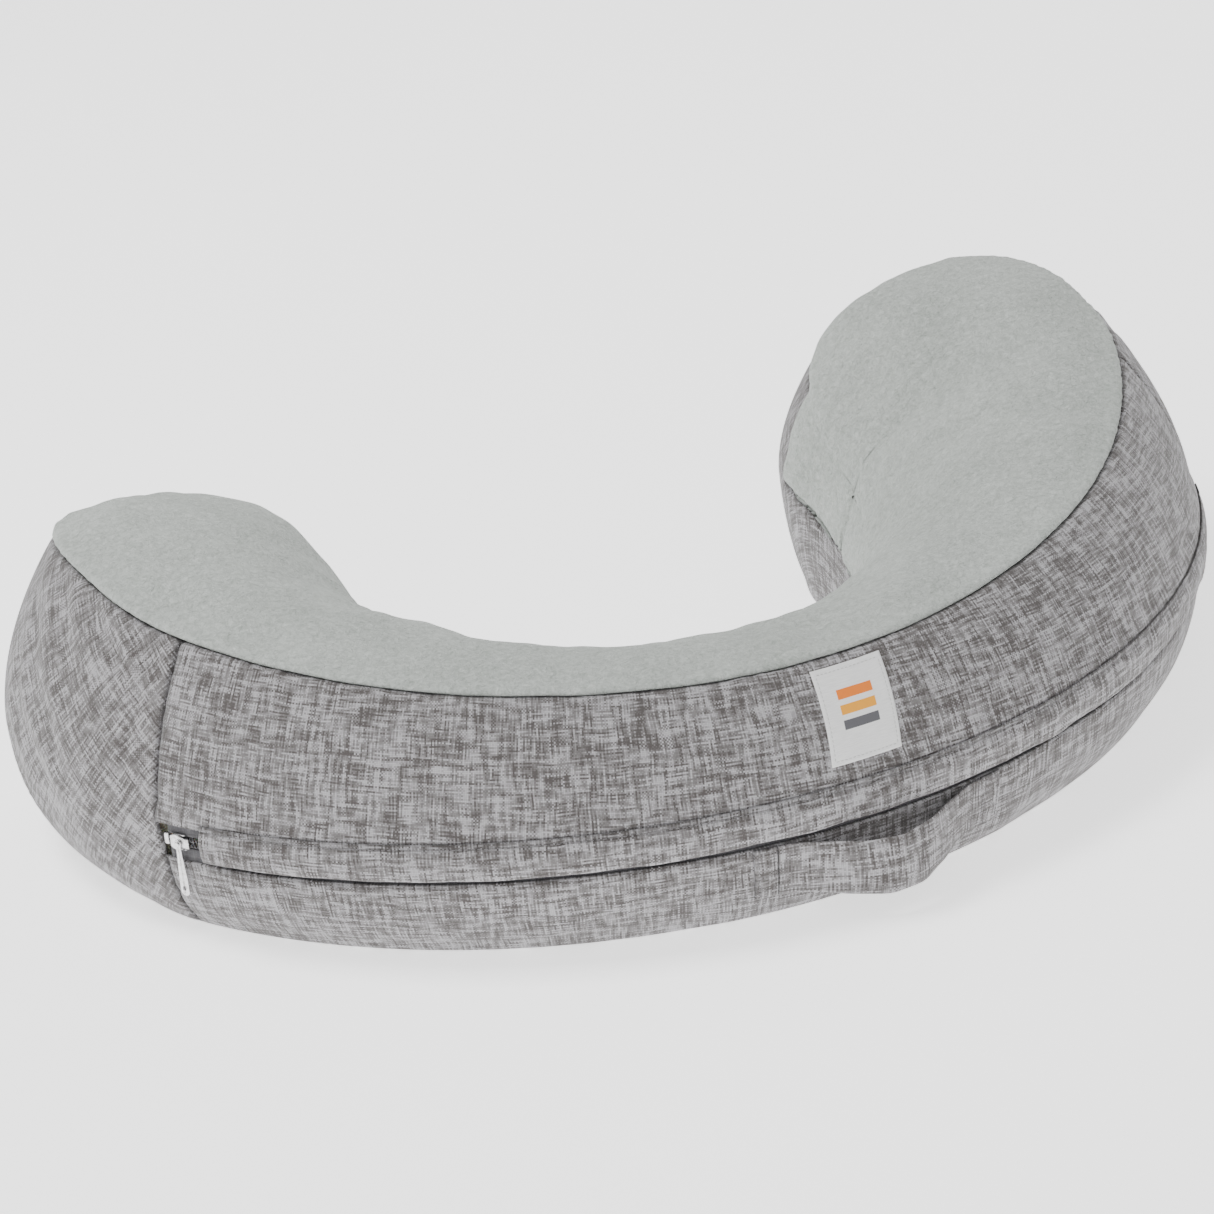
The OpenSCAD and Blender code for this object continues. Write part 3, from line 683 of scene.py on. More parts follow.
def thread_material():
    """Spun thread: fine twist across its length."""
    s = Shader("spun_thread", Roughness=0.8, Sheen_Weight=0.3)
    place = s.place()
    twist = s.noise(place, 5200.0, 1.0)
    s.color(s.ramp(twist, (0.3, (0.09, 0.085, 0.085)), (0.7, (0.23, 0.22, 0.225))))
    s.bump(twist, 0.00008, 0.6)
    return s.material


def pale_thread():
    """Pale thread round the label."""
    s = Shader("pale_thread", Roughness=0.75, Sheen_Weight=0.3)
    s.color(s.ramp(s.noise(s.place(), 5200.0, 1.0), (0.3, (0.45, 0.45, 0.44)), (0.7, (0.66, 0.66, 0.65))))
    return s.material


def coil_material():
    """Moulded nylon coil, slightly glossy."""
    s = Shader("nylon_coil", Roughness=0.42)
    s.color(s.ramp(s.noise(s.place(), 900.0, 2.0), (0.3, (0.10, 0.098, 0.105)), (0.7, (0.16, 0.155, 0.165))))
    s.bump(s.noise(s.place(), 3000.0, 2.0), 0.00003, 0.4)
    return s.material


def label_material():
    """White satin ribbon with woven edge lines and three plain bars."""
    s = Shader("label_satin_print", Roughness=0.38, Sheen_Weight=0.25)
    xyz = s.node("ShaderNodeSeparateXYZ", {0: s.place("UV")}).outputs
    x, y = xyz[0], xyz[1]
    fine = s.math("PINGPONG", s.math("DIVIDE", y, 0.00045), 0.5)
    grain = s.noise(s.vector(s.math("MULTIPLY", x, 160.0), s.math("MULTIPLY", y, 2400.0)), 1.0, 2.0)
    white = s.ramp(grain, (0.3, (0.74, 0.74, 0.735)), (0.7, (0.86, 0.86, 0.855)))

    def bar(middle, half_height, half_width):
        up = s.math("LESS_THAN", s.math("ABSOLUTE", s.math("SUBTRACT", y, middle)), half_height)
        across = s.math("LESS_THAN", s.math("ABSOLUTE", x), half_width)
        return s.math("MULTIPLY", up, across)

    def printed(base, mask, color):
        return s.node("ShaderNodeMix", {"Factor": mask, "A": base, "B": (*color, 1)},
                      data_type="RGBA").outputs[2]

    color = white
    bars = ((0.0085, (0.82, 0.20, 0.01)), (0.0025, (0.85, 0.36, 0.02)), (-0.0035, (0.10, 0.10, 0.11)))
    for middle, tint in bars:
        color = printed(color, bar(middle, 0.0019, 0.0095), tint)
    s.color(color)
    s.bump(s.math("ADD", fine, grain), 0.00006, 0.5)
    return s.material


def floor_material():
    s = Shader("pale_floor", Roughness=0.9, Emission_Color=(1, 1, 1, 1), Emission_Strength=1.4)
    s.color(s.ramp(s.noise(s.place(), 3.0, 2.0), (0.3, (0.90, 0.90, 0.90)), (0.7, (0.92, 0.92, 0.92))))
    return s.material


WEAVE = woven("heather_weave", 0.00085, WEAVE_DARK, WEAVE_MIDDLE, WEAVE_LIGHT, 1.9)
TAPE = woven("zip_tape_weave", 0.0005, (0.06, 0.058, 0.062), (0.10, 0.098, 0.104), (0.16, 0.155, 0.165))
PLUSH_PILE = plush_material()
FOAM = foam_material()
NICKEL = metal_material()
THREAD = thread_material()
COIL = coil_material()
LABEL = label_material()
LABEL_THREAD = pale_thread()

# --- Mesh helpers ----------------------------------------------------------------------------------


def make(name, points, faces, material, node=None, slot=None, body="pillow", uv=None, seam=None):
    """One piece: its mesh, map and darkening by vertex along seams (dark thread and painted shade), what it
    replaces and the body it rides on.
    """
    mesh = bpy.data.meshes.new(name)
    mesh.from_pydata(np.asarray(points, float).tolist(), [], [list(map(int, f)) for f in faces])
    mesh.materials.append(material)
    corner = np.zeros(len(mesh.loops), np.int32)
    mesh.loops.foreach_get("vertex_index", corner)
    if uv is not None:
        layer = mesh.uv_layers.new(name="weave")
        layer.data.foreach_set("uv", np.asarray(uv, np.float32)[corner].ravel())
    if seam is not None:
        mesh.attributes.new("seam", "FLOAT", "POINT").data.foreach_set("value", np.asarray(seam, np.float32))
    mesh.polygons.foreach_set("use_smooth", [True] * len(mesh.polygons))
    obj = bpy.data.objects.new(name, mesh)
    bpy.context.scene.collection.objects.link(obj)
    if node:
        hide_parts(*([node] if isinstance(node, str) else node))
    if body:
        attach(obj, body)
    return obj


def apply_modifier(obj, kind, **settings):
    modifier = obj.modifiers.new(kind, kind)
    for key, value in settings.items():
        setattr(modifier, key, value)
    done = obj.evaluated_get(bpy.context.evaluated_depsgraph_get())
    mesh = bpy.data.meshes.new_from_object(done)
    obj.modifiers.clear()
    old, name = obj.data, obj.data.name
    obj.data = mesh
    bpy.data.meshes.remove(old)
    mesh.name = name


def grid_faces(rows, cols, closed_rows=False, closed_cols=False):
    """Quads of a grid of points, which may close along either way."""
    i = np.arange(rows if closed_rows else rows - 1)
    j = np.arange(cols if closed_cols else cols - 1)
    i, j = np.meshgrid(i, j, indexing="ij")
    i2, j2 = (i + 1) % rows, (j + 1) % cols
    ring = np.stack([i * cols + j, i2 * cols + j, i2 * cols + j2, i * cols + j2], -1)
    return ring.reshape(-1, 4).tolist()


def slab(outer, inner):
    """Closed solid between two equal grids of points: its points and faces."""
    rows, cols = outer.shape[:2]
    count = rows * cols
    points = np.concatenate([outer.reshape(-1, 3), inner.reshape(-1, 3)])
    front = grid_faces(rows, cols)
    faces = front + [[v + count for v in f[::-1]] for f in front]
    index = np.arange(count).reshape(rows, cols)
    rim = np.concatenate([index[:, 0], index[-1, 1:], index[-2::-1, -1], index[0, -2:0:-1]])
    for k, v in enumerate(rim):
        w = rim[(k + 1) % len(rim)]
        faces.append([int(w), int(v), int(v) + count, int(w) + count])
    return points, faces


def loft(rings):
    """Solid through closed rings of points: its points and faces."""
    rings = np.asarray(rings, float)
    rows, cols = rings.shape[:2]
    faces = grid_faces(rows, cols, closed_cols=True)
    faces.append(list(range(cols)))
    faces.append([(rows - 1) * cols + k for k in range(cols)][::-1])
    return rings.reshape(-1, 3), faces


def joined(parts):
    """Several (points, faces) as one."""
    points, faces, start = [], [], 0
    for p, f in parts:
        points.append(p)
        faces += [[v + start for v in ring] for ring in f]
        start += len(p)
    return np.concatenate(points), faces


def stitch_row(path, normals, pitch, share=0.7, radius=0.00028):
    """A row of small rounded stitches along a path of points, sunk a little into the cloth."""
    step = np.concatenate([[0], np.cumsum(np.linalg.norm(np.diff(path, axis=0), axis=1))])
    parts = []
    for start in np.arange(pitch * 0.2, step[-1] - pitch * share, pitch):
        rings = []
        for t, size in ((0.0, 0.35), (0.12, 0.85), (0.5, 1.15), (0.88, 0.85), (1.0, 0.35)):
            s = start + t * share * pitch
            p = np.array([np.interp(s, step, path[:, k]) for k in range(3)])
            n = np.array([np.interp(s, step, normals[:, k]) for k in range(3)])
            ahead = np.array([np.interp(s + 1e-4, step, path[:, k]) for k in range(3)]) - p
            if t == 1.0:
                ahead = p - np.array([np.interp(s - 1e-4, step, path[:, k]) for k in range(3)])
            side = np.cross(ahead, n)
            side /= max(np.linalg.norm(side), 1e-12)
            dip = -0.6 * radius * (2 * t - 1) ** 2
            turn = np.linspace(0, 2 * math.pi, 6, endpoint=False)
            rings.append([p + n * dip + radius * size * (np.cos(w) * side + np.sin(w) * n) for w in turn])
        parts.append(loft(rings))
    return joined(parts)


# --- Cover panels ----------------------------------------------------------------------------------


def cloth_piece(name, regions, run, rise, turn, material, slot):
    """One sewn piece of the cover over regions (a0, a1, b0, b1) of the skin, with the cloth's thickness."""
    faces = []
    for a0, a1, b0, b1 in regions:
        faces += tube.faces(tube.row(a0), tube.row(a1), tube.column(b0), tube.column(b1))
    used = np.array(sorted({v for f in faces for v in f}))
    lookup = np.zeros(cover.size // 3, int)
    lookup[used] = np.arange(len(used))
    run, rise = run.reshape(-1)[used], rise.reshape(-1)[used]
    r = math.radians(turn)
    uv = np.stack([run * math.cos(r) - rise * math.sin(r), run * math.sin(r) + rise * math.cos(r)], -1)
    obj = make(name + "_cloth", cover.reshape(-1, 3)[used], [[lookup[v] for v in f] for f in faces],
               material, node=name, slot=slot, uv=uv, seam=seam_thread_and_shade.reshape(-1)[used])
    apply_modifier(obj, "SOLIDIFY", thickness=FABRIC_T, offset=-1)
    for vertex in obj.data.vertices:
        vertex.co.z = max(vertex.co.z, 0.0)


BAND_B = math.acos(1 - BAND_Z / BELT_Z) / (math.pi / 2)
INNER_RUN = length[:, [tube.column(INNER_WIDE)]] + 0 * B
cloth_piece("plush_top", [(-TIP, TIP, TOP_SEAM, INNER_SEAM), (-INNER_CUT, INNER_CUT, INNER_SEAM, INNER_WIDE)],
            outer_run, section, 0, PLUSH_PILE, "plush")
cloth_piece("outer_panel", [(-1, 1, BELT, TOP_SEAM)], outer_run, section, 3, WEAVE, "weave")
cloth_piece("lower_band", [(-1, 1, OUTER_FOOT, BAND_B)], outer_run, section, 0, WEAVE, "weave")


def end_panel(name, side):
    """An arm's end panel: the outer wall from the vertical seam to the tip, and round onto the inner wall."""
    a0, a1 = sorted((side * 1.0, side * TIP))
    c0, c1 = sorted((side * INNER_CUT, side * TIP))
    round_tip = 2 * outer_run[tube.row(side * TIP)] - outer_run
    run = np.where(B > TOP_SEAM, round_tip, outer_run)
    rise = np.where(B > TOP_SEAM, section[:, [tube.column(INNER_FOOT)]] - section, section)
    cloth_piece(name, [(a0, a1, OUTER_FOOT, TOP_SEAM), (c0, c1, INNER_SEAM, INNER_FOOT)], run, rise,
                -40 * side, WEAVE, "weave")


end_panel("left_end_panel", -1)
end_panel("right_end_panel", 1)
cloth_piece("inner_panel", [(-INNER_CUT, INNER_CUT, INNER_WIDE, INNER_FOOT)],
            INNER_RUN, section, 4, WEAVE, "weave")
cloth_piece("base_panel", [(-TIP, TIP, INNER_FOOT, ROUND)], outer_run, section, 0, WEAVE, "weave")


def foam_core():
    """The foam inside: the same body, a little smaller, with the zip's groove along its front."""
    core = Tube(a_steps(70, 12, 26), b_steps(8, 12, 22, 5))
    inset = 0.0075
    points = skin(core.a, core.b, inset)
    a, b = np.meshgrid(core.a, core.b, indexing="ij")
    groove = fade(points[..., 2] - ZIP_Z, 0.011) * smooth((1.02 - np.abs(a)) / 0.03) * (b < 1.5)
    away = points - np.array([0, CENTRE_Y, 0])
    away[..., 2] = 0
    away /= np.maximum(np.linalg.norm(away, axis=-1, keepdims=True), 1e-9)
    points -= 0.0052 * groove[..., None] * away
    points[..., 2] = np.maximum(points[..., 2], FABRIC_T + 0.0004)
    faces = core.faces(0, len(core.a) - 1, 0, len(core.b) - 1)
    used = np.array(sorted({v for f in faces for v in f}))
    lookup = np.zeros(points.size // 3, int)
    lookup[used] = np.arange(len(used))
    obj = make("foam_core_block", points.reshape(-1, 3)[used], [[lookup[v] for v in f] for f in faces],
               FOAM, node="foam_core", slot="foam")


foam_core()

# --- Zip -------------------------------------------------------------------------------------------

FLAP_FROM, FLAP_TO = -58.4, 62.8
FLAP_TOP, FLAP_FREE, FLAP_T = 0.068, 0.0487, 0.0013
FLAP_LIFT, FLAP_FREE_LIFT = 0.00115, 0.00155
FLAP_STITCH_COLUMN = 3  # column of the flap's grid that the top-stitching follows
ZIP_DEPTH = 0.0035
ZIP_R = BELT_R - ZIP_DEPTH
TAPE_T, TAPE_W = 0.0008, 0.008
COIL_GAP, COIL_W, COIL_T = 0.0012, 0.0026, 0.0024
COIL_FAR = COIL_GAP / 2 + COIL_W


def ring_point(r, deg, z):
    """Point at radius r from the front arc's axis, at an angle from the front and a height."""
    rad = np.radians(deg)
    r, rad, z = np.broadcast_arrays(r, rad, z)
    return np.stack([r * np.sin(rad), CENTRE_Y - r * np.cos(rad), z], -1)


def zip_flap():
    """Soft folded flap: sewn along its top, hanging free and a little wavy over the zip."""
    deg = np.linspace(FLAP_FROM, FLAP_TO, 460)[:, None]
    run = BELT_R * np.radians(deg)
    half = FLAP_T / 2
    # Section from the sewn edge down to the free one, as a middle line and its thickness
    down = np.linspace(0, 1, 22)[None, :]
    z = mix(FLAP_TOP, FLAP_FREE, down)
    belly = smooth((down - 0.08) / 0.45)
    middle = BELT_R + 0.0001 + half + mix(0, FLAP_LIFT, belly)
    middle = middle + (FLAP_FREE_LIFT - FLAP_LIFT) * smooth((down - 0.5) / 0.5)
    gather = ripple(run, 0.011, 51)
    middle = middle + 0.00030 * gather * np.exp(-np.abs(down - 0.16) / 0.12)
    middle = middle + (0.00025 * ripple(run, 0.038, 52) + 0.0001 * gather) * smooth((down - 0.5) / 0.5)
    middle = middle + 0.0006 * fade(down - 0.42, 0.2) - 0.0009 * smooth((0.053 - z) / 0.003)
    dent = 0.00045 * fade((down - 0.135) * (FLAP_TOP - FLAP_FREE), 0.0009)
    z = z + 0.0003 * ripple(run, 0.05, 53) * smooth((down - 0.6) / 0.4)
    thick = half * np.sqrt(np.clip(1 - (np.abs(2 * down - 1) ** 14), 0.02, 1))
    outer = ring_point(middle + thick - dent, deg, z)
    inner = ring_point(middle - thick, deg, z)
    points, faces = slab(outer, inner)
    uv = np.stack([run + 0 * z, z + 0 * run], -1).reshape(-1, 2)
    # Painted shade along the groove of the top-stitching and the sewn top edge, which darkens the colour
    # through the seam values.
    near = fade((down - 0.135) * (FLAP_TOP - FLAP_FREE), 0.0009) + fade(down * 0.0185, 0.001) + 0 * run
    edge = np.clip(near, 0, 1).reshape(-1)
    make("zip_flap_cloth", points, faces, WEAVE, node="zip_flap", slot="weave",
         uv=np.concatenate([uv, uv]), seam=np.concatenate([edge, edge]))
    path = outer[:, FLAP_STITCH_COLUMN]
    across = ring_point(1.0, deg[:, 0], 0.0) - ring_point(0.0, deg[:, 0], 0.0)
    stitches = stitch_row(path[4:-4], across[4:-4], 0.0031)
    make("flap_topstitch_thread", *stitches, THREAD, node="flap_topstitch", slot="thread")


def zip_tape(name, side):
    """Woven tape of one half of the zip, with a ridge beside the coil."""
    deg = np.linspace(-62.3, 62.6, 320)[:, None]
    near, far = ZIP_Z + side * COIL_FAR, ZIP_Z + side * (COIL_FAR + TAPE_W)
    z = mix(min(near, far), max(near, far), np.linspace(0, 1, 9))[None, :]
    ridge = 0.0001 * np.cos((z - near) * 2 * math.pi / 0.0032)
    outer, inner = ring_point(ZIP_R + TAPE_T / 2 + ridge, deg, z), ring_point(ZIP_R - TAPE_T / 2, deg, z)
    points, faces = slab(outer, inner)
    uv = np.stack([ZIP_R * np.radians(deg) + 0 * z, z + 0 * deg], -1).reshape(-1, 2)
    make(name + "_weave", points, faces, TAPE, node=name, slot="zip_tape", uv=np.concatenate([uv, uv]))


def zip_coil(name, side):
    """Nylon monofilament wound in flat turns along one tape, whose heads reach the other's."""
    pitch, wire, around = 0.0019, 0.00036, 9
    first, last = -62.2, 61.4
    turns = int(ZIP_R * math.radians(last - first) / pitch)
    t = np.arange(turns * around + 1) / around
    w = 2 * math.pi * t
    deg = first + t / turns * (last - first)
    middle = ZIP_Z + side * (COIL_GAP / 2 + COIL_W / 2 - 0.0004)
    z = middle + (COIL_W / 2 - wire) * np.cos(w)
    r = ZIP_R + (COIL_T / 2 - wire) * np.sin(w)
    path = ring_point(r, deg + 0.11 * side, z)
    ahead = np.gradient(path, axis=0)
    ahead /= np.linalg.norm(ahead, axis=1, keepdims=True)
    up = np.cross(ahead, ring_point(1.0, deg, 0.0) - ring_point(0.0, deg, 0.0))
    up /= np.linalg.norm(up, axis=1, keepdims=True)
    side_way = np.cross(ahead, up)
    ring = [up * math.cos(k) + side_way * math.sin(k) for k in np.linspace(0, 2 * math.pi, 5, endpoint=False)]
    rings = path[:, None] + wire * np.stack(ring, 1)
    make(name + "_wire", *loft(rings), COIL, node=name, slot="zip_coil")


def rounded_block(deg, half_run, r_in, r_out, z_low, z_high, bevel=0.0003):
    """Small arc-shaped block with rounded edges."""
    rings = []
    for s in np.linspace(-1, 1, 9):
        pull = bevel * (1 - math.sqrt(max(0.0, 1 - max(0.0, abs(s) - 0.6) ** 2 / 0.16)))
        ring = []
        for k in range(20):
            w = 2 * math.pi * (k + 0.5) / 20
            c, d = math.cos(w), math.sin(w)
            x = math.copysign(abs(c) ** 0.35, c) * (r_out - r_in - 2 * pull) / 2
            y = math.copysign(abs(d) ** 0.35, d) * (z_high - z_low - 2 * pull) / 2
            place = deg + math.degrees(s * half_run / ZIP_R)
            ring.append(ring_point((r_in + r_out) / 2 + x, place, (z_low + z_high) / 2 + y))
        rings.append(ring)
    return loft(rings)


zip_flap()
zip_tape("zip_tape_upper", 1)
zip_tape("zip_tape_lower", -1)
zip_coil("zip_coil_upper", 1)
zip_coil("zip_coil_lower", -1)
STOPS = [rounded_block(deg, 0.0014, ZIP_R - COIL_T / 2, ZIP_R + COIL_T / 2,
                       ZIP_Z - COIL_FAR, ZIP_Z + COIL_FAR)
         for deg in (-62.55, 61.75)]
make("zip_end_stops_metal", *joined(STOPS), NICKEL, node="zip_end_stops", slot="zip_metal")

SLIDER_DEG, PLAY, PLATE_T = -61.0, 0.0003, 0.0012
PLATE_IN = COIL_T / 2 + PLAY
SLIDER_TOP_R = ZIP_R + PLATE_IN + PLATE_T
SLIDER_HALF_H = COIL_FAR + PLAY + 0.0007
PULL_T, PULL_LEN, EYE_R, PIN_R = 0.00085, 0.028, 0.0019, 0.0006
PULL_R = SLIDER_TOP_R + PLAY + PULL_T / 2
RIVET_OUT_R = PULL_R + PULL_T / 2 + PLAY + 0.0005


def slider_plate(r_in, r_out):
    """Plate of the slider, waisted behind its shoulders and with softened edges."""
    rings = []
    for s in np.linspace(-1, 1, 15):
        waist = 0.80 + 0.20 * math.cos(math.pi * (s + 0.35))
        height = SLIDER_HALF_H * waist * (1 - 0.30 * max(0, abs(s) - 0.8))
        soft = 0.0002 * (abs(s) > 0.95)
        ring = []
        for k in range(24):
            w = 2 * math.pi * (k + 0.5) / 24
            c, d = math.cos(w), math.sin(w)
            x = math.copysign(abs(c) ** 0.4, c) * ((r_out - r_in) / 2 - soft)
            y = math.copysign(abs(d) ** 0.4, d) * (height - soft)
            ring.append(ring_point((r_in + r_out) / 2 + x, SLIDER_DEG + 0.95 * s, ZIP_Z + y))
        rings.append(ring)
    return loft(rings)


def slider():
    """Slider body: two waisted plates, a wedge between them and flanges round the coils."""
    parts = [slider_plate(ZIP_R + PLATE_IN, SLIDER_TOP_R),
             slider_plate(ZIP_R - PLATE_IN - PLATE_T, ZIP_R - PLATE_IN)]
    parts.append(rounded_block(SLIDER_DEG, 0.0012, ZIP_R - PLATE_IN - 0.0002, ZIP_R + PLATE_IN + 0.0002,
                               ZIP_Z - 0.0003, ZIP_Z + 0.0003, 0.0001))
    for side in (-1, 1):
        z = ZIP_Z + side * (SLIDER_HALF_H - 0.00035)
        for low, high in ((TAPE_T / 2 + PLAY, PLATE_IN + 0.0002), (-PLATE_IN - 0.0002, -TAPE_T / 2 - PLAY)):
            parts.append(rounded_block(SLIDER_DEG, 0.0034, ZIP_R + low, ZIP_R + high,
                                       z - 0.00035, z + 0.00035))
    make("slider_body_metal", *joined(parts), NICKEL, node="slider_body", slot="zip_metal", body="zip_slider")


def turned(profile, steps=28):
    """Solid turned about the rivet's axis from a profile of (distance outwards, radius)."""
    rings = []
    along = ring_point(1.0, SLIDER_DEG, 0.0) - ring_point(0.0, SLIDER_DEG, 0.0)
    across = np.array([-along[1], along[0], 0.0])
    for r, radius in profile:
        centre = ring_point(r, SLIDER_DEG, ZIP_Z)
        rings.append([centre + radius * (math.cos(w) * across + math.sin(w) * np.array([0, 0, 1.0]))
                      for w in np.linspace(0, 2 * math.pi, steps, endpoint=False)])
    return loft(rings)


def rivet():
    """Rivet with a domed head."""
    head = RIVET_OUT_R - 0.0005
    profile = [(SLIDER_TOP_R - 0.0002, 0.0007), (SLIDER_TOP_R + 0.0001, PIN_R), (head, PIN_R),
               (head, 0.0011), (head + 0.0001, 0.0012), (head + 0.0003, 0.0011),
               (head + 0.00042, 0.0008), (RIVET_OUT_R, 0.0003)]
    make("slider_pin_rivet", *turned(profile), NICKEL, node="slider_pin", slot="zip_metal", body="zip_slider")


def pull():
    """Long thin pull: an eye on the rivet, a narrow neck, a blade with a raised rim and a small hole."""
    across = np.array([math.cos(math.radians(SLIDER_DEG)), math.sin(math.radians(SLIDER_DEG)), 0.0])
    out = ring_point(1.0, SLIDER_DEG, 0.0) - ring_point(0.0, SLIDER_DEG, 0.0)
    centre = ring_point(PULL_R, SLIDER_DEG, ZIP_Z)
    down = np.linspace(-EYE_R, PULL_LEN, 90)
    blade = mix(0.0014, 0.0025, smooth((down - 0.002) / 0.02))
    rounding = np.sqrt(np.clip(1 - ((down - PULL_LEN + 0.002) / 0.002) ** 2, 0, 1))
    blade = np.where(down > PULL_LEN - 0.002, rounding * 0.9 * 0.0025 + 0.00025, blade)
    eye = np.sqrt(np.clip(EYE_R ** 2 - down ** 2, 0, None))
    half = np.where(down < 0.0012, np.maximum(eye, 0.0002), np.maximum(blade, 0.0011))
    mesh_rings = []
    for h, w in zip(down, half):
        hole = 0.0
        for at, radius in ((0.0, PIN_R + 0.0001), (PULL_LEN - 0.004, 0.0011)):
            hole = max(hole, math.sqrt(max(0.0, radius ** 2 - (h - at) ** 2)))
        mesh_rings.append((h, w, hole))
    parts = []
    for side in (-1, 1):
        rings = []
        for h, w, hole in mesh_rings:
            inner, outer_edge = side * hole, side * w
            t = PULL_T / 2
            rim = 0.0001 if 0.004 < h < PULL_LEN - 0.0065 else 0.0
            shape = [(inner, -t), (outer_edge, -t * 0.6), (outer_edge, t * 0.6),
                     (mix(inner, outer_edge, 0.8), t),
                     (mix(inner, outer_edge, 0.6), t - rim), (inner, t - rim)]
            rings.append([centre + across * x + out * y - np.array([0, 0, h]) for x, y in shape[::side]])
        parts.append(loft(rings))
    obj = make("pull_tab_metal", *joined(parts), NICKEL, node="pull_tab", slot="zip_metal", body="zip_pull")
    weld(obj, 1e-6)


def weld(obj, distance):
    """Joins the vertices that meet, and turns every face outwards."""
    work = bmesh.new()
    work.from_mesh(obj.data)
    bmesh.ops.remove_doubles(work, verts=work.verts, dist=distance)
    bmesh.ops.recalc_face_normals(work, faces=work.faces)
    work.to_mesh(obj.data)
    work.free()


slider()
rivet()
pull()

# --- Handle ----------------------------------------------------------------------------------------

HANDLE_FROM, HANDLE_TO, TAB_DEG = -12.5, 10.5, 2.0
STRAP_TOP, STRAP_W, STRAP_T = 0.045, 0.029, 0.002
STRAP_BOW, STRAP_SAG, STRAP_LIFT = 0.014, 0.004, 0.00035
TAB_LIFT = 0.0001


def band_r(z):
    return FRONT_R + mix(FOOT_OUT, BELT_OUT, np.sqrt(1 - (1 - z / BELT_Z) ** 2))


def strap_section(t, count=22):
    """Closed section of the folded strap at share t of its length: rounded edges and two stitched lines."""
    bow = math.sin(math.pi * t) ** 2
    w = 2 * math.pi * (np.arange(count) + 0.5) / count
    across = np.sign(np.cos(w)) * np.abs(np.cos(w)) ** 0.32
    through = np.sign(np.sin(w)) * np.abs(np.sin(w)) ** 0.55
    v = 0.5 - across / 2
    z = STRAP_TOP - STRAP_W * v - STRAP_SAG * bow
    deg = mix(HANDLE_FROM + TAB_DEG + 0.04, HANDLE_TO - TAB_DEG - 0.04, t)
    base = mix(band_r(np.clip(z, 0.001, BELT_Z)) + STRAP_LIFT, BELT_R + STRAP_BOW, bow)
    run = BELT_R * math.radians(deg)
    cup = 0.0012 * bow * (1 - (2 * v - 1) ** 2)
    wrinkle = 0.0004 * math.sin(2 * math.pi * run / 0.019) * (2 * v - 1) * (0.3 + bow)
    pucker = 0.0006 * np.sin(2 * math.pi * (run + 0.5 * z) / 0.0085) * math.exp(-(1 - t) / 0.10)
    r = base + STRAP_T / 2 * (1 + through) + cup + wrinkle + np.maximum(pucker, -0.0002)
    return ring_point(r, deg, z), np.stack([run + 0 * z, z], -1), v


def strap_half(name, t0, t1, start, end):
    """Half of the strap, which turns from its sewn end into the part that lifts."""
    ts = np.linspace(t0, t1, 70)
    sections = [strap_section(t) for t in ts]
    points, faces = loft([s[0] for s in sections])
    uv = np.concatenate([s[1] for s in sections])
    # Darker along the stitched lines near both edges: dark thread and painted shade in their grooves.
    seam = np.concatenate([0.55 * fade((np.abs(2 * v - 1) - 0.86) * STRAP_W / 2, 0.0005)
                           for _, _, v in sections])
    node = "handle_strap" if t0 == 0 else None
    obj = make(name, points, faces, WEAVE, node=node, slot="weave", body=None, uv=uv, seam=seam)
    count = len(sections[0][0])
    ends = {frozenset((row * count + k, row * count + (k + 1) % count))
            for row in (0, len(ts) - 1) for k in range(count)}
    sharp = obj.data.attributes.new("sharp_edge", "BOOLEAN", "EDGE")
    sharp.data.foreach_set("value", [frozenset(e.vertices) in ends for e in obj.data.edges])
    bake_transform(obj)


def strap_place(t):
    return Vector(ring_point(band_r(0.03), mix(HANDLE_FROM + TAB_DEG, HANDLE_TO - TAB_DEG, t), 0.03).tolist())


strap_half("handle_strap_left", 0.0, 0.5, strap_place(0.0), strap_place(0.36))
strap_half("handle_strap_right", 0.5, 1.0, strap_place(1.0), strap_place(0.64))


